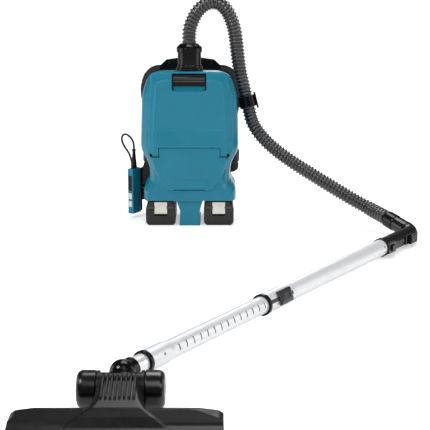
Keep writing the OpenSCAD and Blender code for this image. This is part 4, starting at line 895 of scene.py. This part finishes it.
def build_buckle():
    """Side-release buckle on the belt: socket, plug with its two prongs, and webbing bars."""
    at = mm(0, 156, 136)
    rim = both_ways([(-14.5, 18.4), (-11.5, 18.0), (-10.6, 13.6), (1.2, 13.6), (2.6, 17.6), (6.8, 18.2)])
    panel = both_ways([(-9.4, 9.6), (-7.6, 11.2), (2.2, 11.2), (4.0, 9.6)])
    prong = [(-10.2, 12.0), (-9.4, 17.0), (-5.0, 19.4), (-1.0, 18.8), (1.0, 12.0)]
    plug = [both_ways([(8.0, 17.6), (10.2, 18.6), (12.6, 18.6)]),
            box_line(12.4, 24, 16.4, 18.6), box_line(12.4, 24, -18.6, -16.4),
            box_line(15.6, 18.0, -17, 17), box_line(21.4, 24, -18.6, 18.6)]
    bars = [box_line(-24, -14, 16.4, 18.4), box_line(-24, -14, -18.4, -16.4),
            box_line(-18.4, -16.2, -17, 17), box_line(-24, -21.4, -18.4, 18.4)]
    socket = moulding("buckle_socket", [rim], at, UPRIGHT, thick=5.4, soft=1.6)
    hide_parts("belt_buckle")
    moulding("buckle_socket_panel", [panel], at, UPRIGHT, thick=5.9)
    for tag, side in (("upper", 1), ("lower", -1)):
        outline = [(a, side * b) for a, b in prong]
        moulding(f"buckle_prong_{tag}", [outline], at, UPRIGHT, thick=3.2, soft=1.2, material="lever_grey")
    moulding("buckle_plug", plug, at, UPRIGHT, thick=3.6)
    moulding("buckle_socket_bars", bars, at, UPRIGHT, thick=3.6)


def build_adjuster(tag, path, sides, i):
    """Ladder lock at point i of the path, where the lower webbing meets the shoulder pad."""
    along = tangents(path)[i]
    across = sides[i]
    axes = across, along, across.cross(along)
    rails = [box_line(-13.4, -11.2, -10, 10), box_line(11.2, 13.4, -10, 10)]
    bars = [box_line(-12, 12, b - 1.3, b + 1.3) for b in (-8.7, -1.2, 8.7)]
    lip = [(-12, 8.4), (12, 8.4), (10, 13.2), (-10, 13.2)]
    lip_at = path[i] + axes[2] * ADJUSTER_LIP_RISE
    moulding(f"strap_adjuster_{tag}", rails + bars, path[i], axes, thick=2.0, soft=0.7)
    moulding(f"strap_adjuster_lip_{tag}", [lip], lip_at, axes, thick=0.9, soft=0.6)


build_pads()
build_webbing()
build_buckle()

# ---------- raised details of the mouldings ----------

PROUD = 0.00005
FACE = Vector((0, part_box("front_door")[0].y - PROUD, 0))
DROP_POINTS = 14
DROP_RADIUS, DROP_TAIL = 1.7, 3.4
DROP_TURN = 0.45


def drop(x, z, side):
    """Tear-drop outline that points up and outwards."""
    out = []
    for k in range(DROP_POINTS):
        a = math.tau * k / DROP_POINTS
        reach = DROP_RADIUS + DROP_TAIL * max(0.0, math.cos(a)) ** 3
        out.append((x + side * reach * math.sin(a + DROP_TURN), z + reach * math.cos(a + DROP_TURN)))
    return out


def build_face_details():
    """Low raised fields on the door and the lower panel, and the panel's two drops."""
    door_field = [(-79, 192.5), (79, 192.5), (80, 226), (74, 232), (-74, 232), (-80, 226)]
    panel_field = [(-29, 91.5), (29, 91.5), (34, 96), (42, 112), (-42, 112), (-34, 96)]
    drops = [drop(-39.5, 122, -1), drop(39.5, 122, 1)]
    moulding("door_crest", [door_field], FACE, UPRIGHT, thick=0.35, soft=0.6, body="door",
             material="teal_shell")
    moulding("panel_drops", drops, FACE, UPRIGHT, thick=0.5, soft=0.7, material="teal_shell")
    moulding("panel_crest", [panel_field], FACE, UPRIGHT, thick=0.3, soft=0.5, material="teal_shell")


def build_battery_details():
    """Ridges on each battery's front, and pale grey shoulders beside its button, as a painted highlight."""
    ridges = [box_line(-33.4, -15, 38.6, 39.8), box_line(15, 33.4, 38.6, 39.8), box_line(-30, 30, 8.6, 9.6)]
    # Pale grey shoulders beside the button: painted highlight.
    shoulder = [(31.6, 41.8), (13.6, 41.8), (13.6, 46.5), (25, 46.5), (31, 44.6)]
    shoulder_highlights = [[(-a, b) for a, b in shoulder], shoulder]
    for tag, _ in reversed(SIDES):
        body = f"battery_{tag}"
        low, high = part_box(body)
        front = Vector(((low.x + high.x) / 2, low.y - 2 * PROUD, 0))
        moulding(f"battery_ridges_{tag}", ridges, front, UPRIGHT, thick=0.35, soft=0.3, body=body,
                 material="battery_case")
        moulding(f"battery_shoulders_{tag}", shoulder_highlights, front, UPRIGHT, thick=0.5, soft=0.4, body=body,
                 material="sole_grey")


CONTROL_TURN = math.radians(-33)
CONTROL_FOOT = mm(-137, 26, 12)
BACK_AT, BACK_RIBS_AT = 0.0198, 0.0224  # behind the middle of the control unit
BRACKET_AT, BRACKET_RIBS_AT = mm(0, 54, 0), mm(0, 52, 0)


def build_holder():
    """Dark back of the control unit and the bracket that holds it to the case."""
    away = Vector((-math.sin(CONTROL_TURN), math.cos(CONTROL_TURN), 0))
    axes = Vector((math.cos(CONTROL_TURN), math.sin(CONTROL_TURN), 0)), UP, away
    back = [(-6.6, 2), (6.6, 2), (7.4, 5), (7.4, 104), (6.0, 108), (-6.0, 108), (-7.4, 104), (-7.4, 5)]
    back_ribs = [box_line(-6.2, 6.2, z, z + 2.2) for z in range(14, 96, 7)]
    bracket = [(-128, 46), (-122, 38), (-109.6, 38), (-109.6, 80), (-94, 100), (-94, 132), (-112, 132),
               (-118, 121), (-128, 114)]
    bracket_ribs = [box_line(-127, -110.4, z, z + 2.4) for z in (50, 62, 74, 86, 98)]
    moulding("control_back", [back], CONTROL_FOOT + away * BACK_AT, axes, thick=2.4, soft=1.2)
    moulding("control_back_ribs", back_ribs, CONTROL_FOOT + away * BACK_RIBS_AT, axes, thick=0.5, soft=0.4)
    moulding("control_bracket", [bracket], BRACKET_AT, UPRIGHT, thick=1.6, soft=1.0)
    moulding("control_bracket_ribs", bracket_ribs, BRACKET_RIBS_AT, UPRIGHT, thick=0.8, soft=0.5)


LEVER_FACE = Vector((0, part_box("latch_lever")[0].y + 0.00015, 0))
# The slope's levels: height, depth of its face, and half width.
SLOPE = ((319.4, -75.6, 30.3), (322.6, -72.6, 35.6), (327.5, -67.2, 37.0), (333.0, -62.4, 37.0))
SLOPE_BACK = -61.4


def build_latch_details():
    """Teal slope at the foot of the latch's recess, and a pale strip on the lever's lower lip as a painted
    highlight.
    """
    verts = []
    for z, y, w in SLOPE:
        verts += [mm(-w, y, z), mm(w, y, z), mm(w, SLOPE_BACK, z), mm(-w, SLOPE_BACK, z)]
    slope = mesh_piece("latch_slope", verts, skin(len(SLOPE), 4), smooth=False)
    place(slope, MATERIALS["teal_shell"], "door")
    # Pale strip on the lever's lower lip: painted highlight.
    lip = box_line(-35.5, 35.5, 344.0, 346.2)
    moulding("lever_lip_highlight", [lip], LEVER_FACE, UPRIGHT, thick=0.5, soft=0.5, body="latch_lever",
             material="sole_grey")


def build_seam_shadows():
    """Dark strips painted as shadow along the seam under the door, widest below its lower corners."""
    corners = [box_line(-88.5, -69, 166.9, 168.4), box_line(69, 88.5, 166.9, 168.4)]
    seam = [box_line(-72.2, 72.2, 188.3, 189.1), box_line(-72.2, -71.5, 168.6, 188.1),
            box_line(71.5, 72.2, 168.6, 188.1)]
    prouder = FACE - BACKWARDS * PROUD
    # Painted shadow in the seam gaps, in the dark seal_rubber material.
    moulding("hinge_gap_shadows", corners, prouder, UPRIGHT, thick=0.25, soft=0.2, material="seal_rubber")
    moulding("seam_shadow", seam, FACE, UPRIGHT, thick=0.2, soft=0.1, material="seal_rubber")


build_face_details()
build_battery_details()
build_holder()
build_latch_details()
build_seam_shadows()

# ---------- floor and light ----------

FLOOR_HALF = 30
GLOW_FROM, GLOW_TO = 0.4, 3.0  # distances between which the floor's glow grows
GLOW_NEAR, GLOW_FAR = 0.44, 1.0
GLOW_ON_OBJECT = 0.35  # share of the glow that reaches the object
SKY_ON_OBJECT, SKY_SEEN = 0.10, 1.0
WHITE = (1, 1, 1, 1)


def build_floor():
    """White floor that glows more further out, and more for the camera than for the object."""
    m = Maker("floor")
    distance = m.add("ShaderNodeVectorMath", {0: m.coord}, operation="LENGTH").outputs["Value"]
    glow = m.span(distance, GLOW_FROM, GLOW_TO, GLOW_NEAR, GLOW_FAR)
    seen = m.add("ShaderNodeLightPath").outputs["Is Camera Ray"]
    strength = m.math("MULTIPLY", glow, m.span(seen, 0.0, 1.0, GLOW_ON_OBJECT, 1.0))
    base = m.mix(m.span(m.noise(3), 0.3, 0.7), (0.84, 0.84, 0.84, 1), (0.86, 0.86, 0.86, 1))
    corners = [(x * FLOOR_HALF, y * FLOOR_HALF, 0) for x, y in ((-1, -1), (1, -1), (1, 1), (-1, 1))]
    floor = mesh_piece("floor", corners, [(0, 1, 2, 3)])
    floor.data.materials.append(m.out(base, 0.7, Emission_Color=WHITE, Emission_Strength=strength))


def build_world():
    """White world that is bright for the camera and dim for the object."""
    world = bpy.data.worlds.new("studio")
    world.use_nodes = True
    nodes, links = world.node_tree.nodes, world.node_tree.links
    sky = nodes["Background"]
    sky.inputs["Color"].default_value = WHITE
    seen = nodes.new("ShaderNodeMapRange")
    seen.inputs["To Min"].default_value, seen.inputs["To Max"].default_value = SKY_ON_OBJECT, SKY_SEEN
    links.new(nodes.new("ShaderNodeLightPath").outputs["Is Camera Ray"], seen.inputs["Value"])
    links.new(seen.outputs[0], sky.inputs["Strength"])
    scene.world = world


def soft_box(name, at, towards, size, power):
    """Square light of a size in metres and a power in watts."""
    data = bpy.data.lights.new(name, "AREA")
    data.shape, data.size, data.energy = "SQUARE", size, power
    obj = bpy.data.objects.new(name, data)
    obj.location = at
    obj.rotation_euler = (Vector(towards) - Vector(at)).to_track_quat("-Z", "Y").to_euler()
    scene.collection.objects.link(obj)


build_floor()
build_world()
soft_box("key", (-1.5, -1.9, 2.3), (0.05, -0.2, 0.2), 0.8, 44)
soft_box("front", (0.5, -3.0, 2.6), (0.05, -0.3, 0.15), 1.6, 28)
soft_box("top", (0.3, 0.4, 2.3), (0.1, -0.3, 0.1), 1.4, 38)
soft_box("back", (0.4, 2.2, 1.2), (0.2, -0.3, 0.1), 0.8, 6)
soft_box("left_edge", (-2.1, -0.25, 0.55), (0.0, -0.05, 0.25), 1.1, 9)
soft_box("right_edge", (2.1, -0.15, 0.55), (0.0, -0.05, 0.25), 1.1, 7)
soft_box("fill", (2.0, -2.2, 1.3), (0.1, -0.3, 0.15), 0.8, 14)
scene.view_settings.view_transform = "Standard"
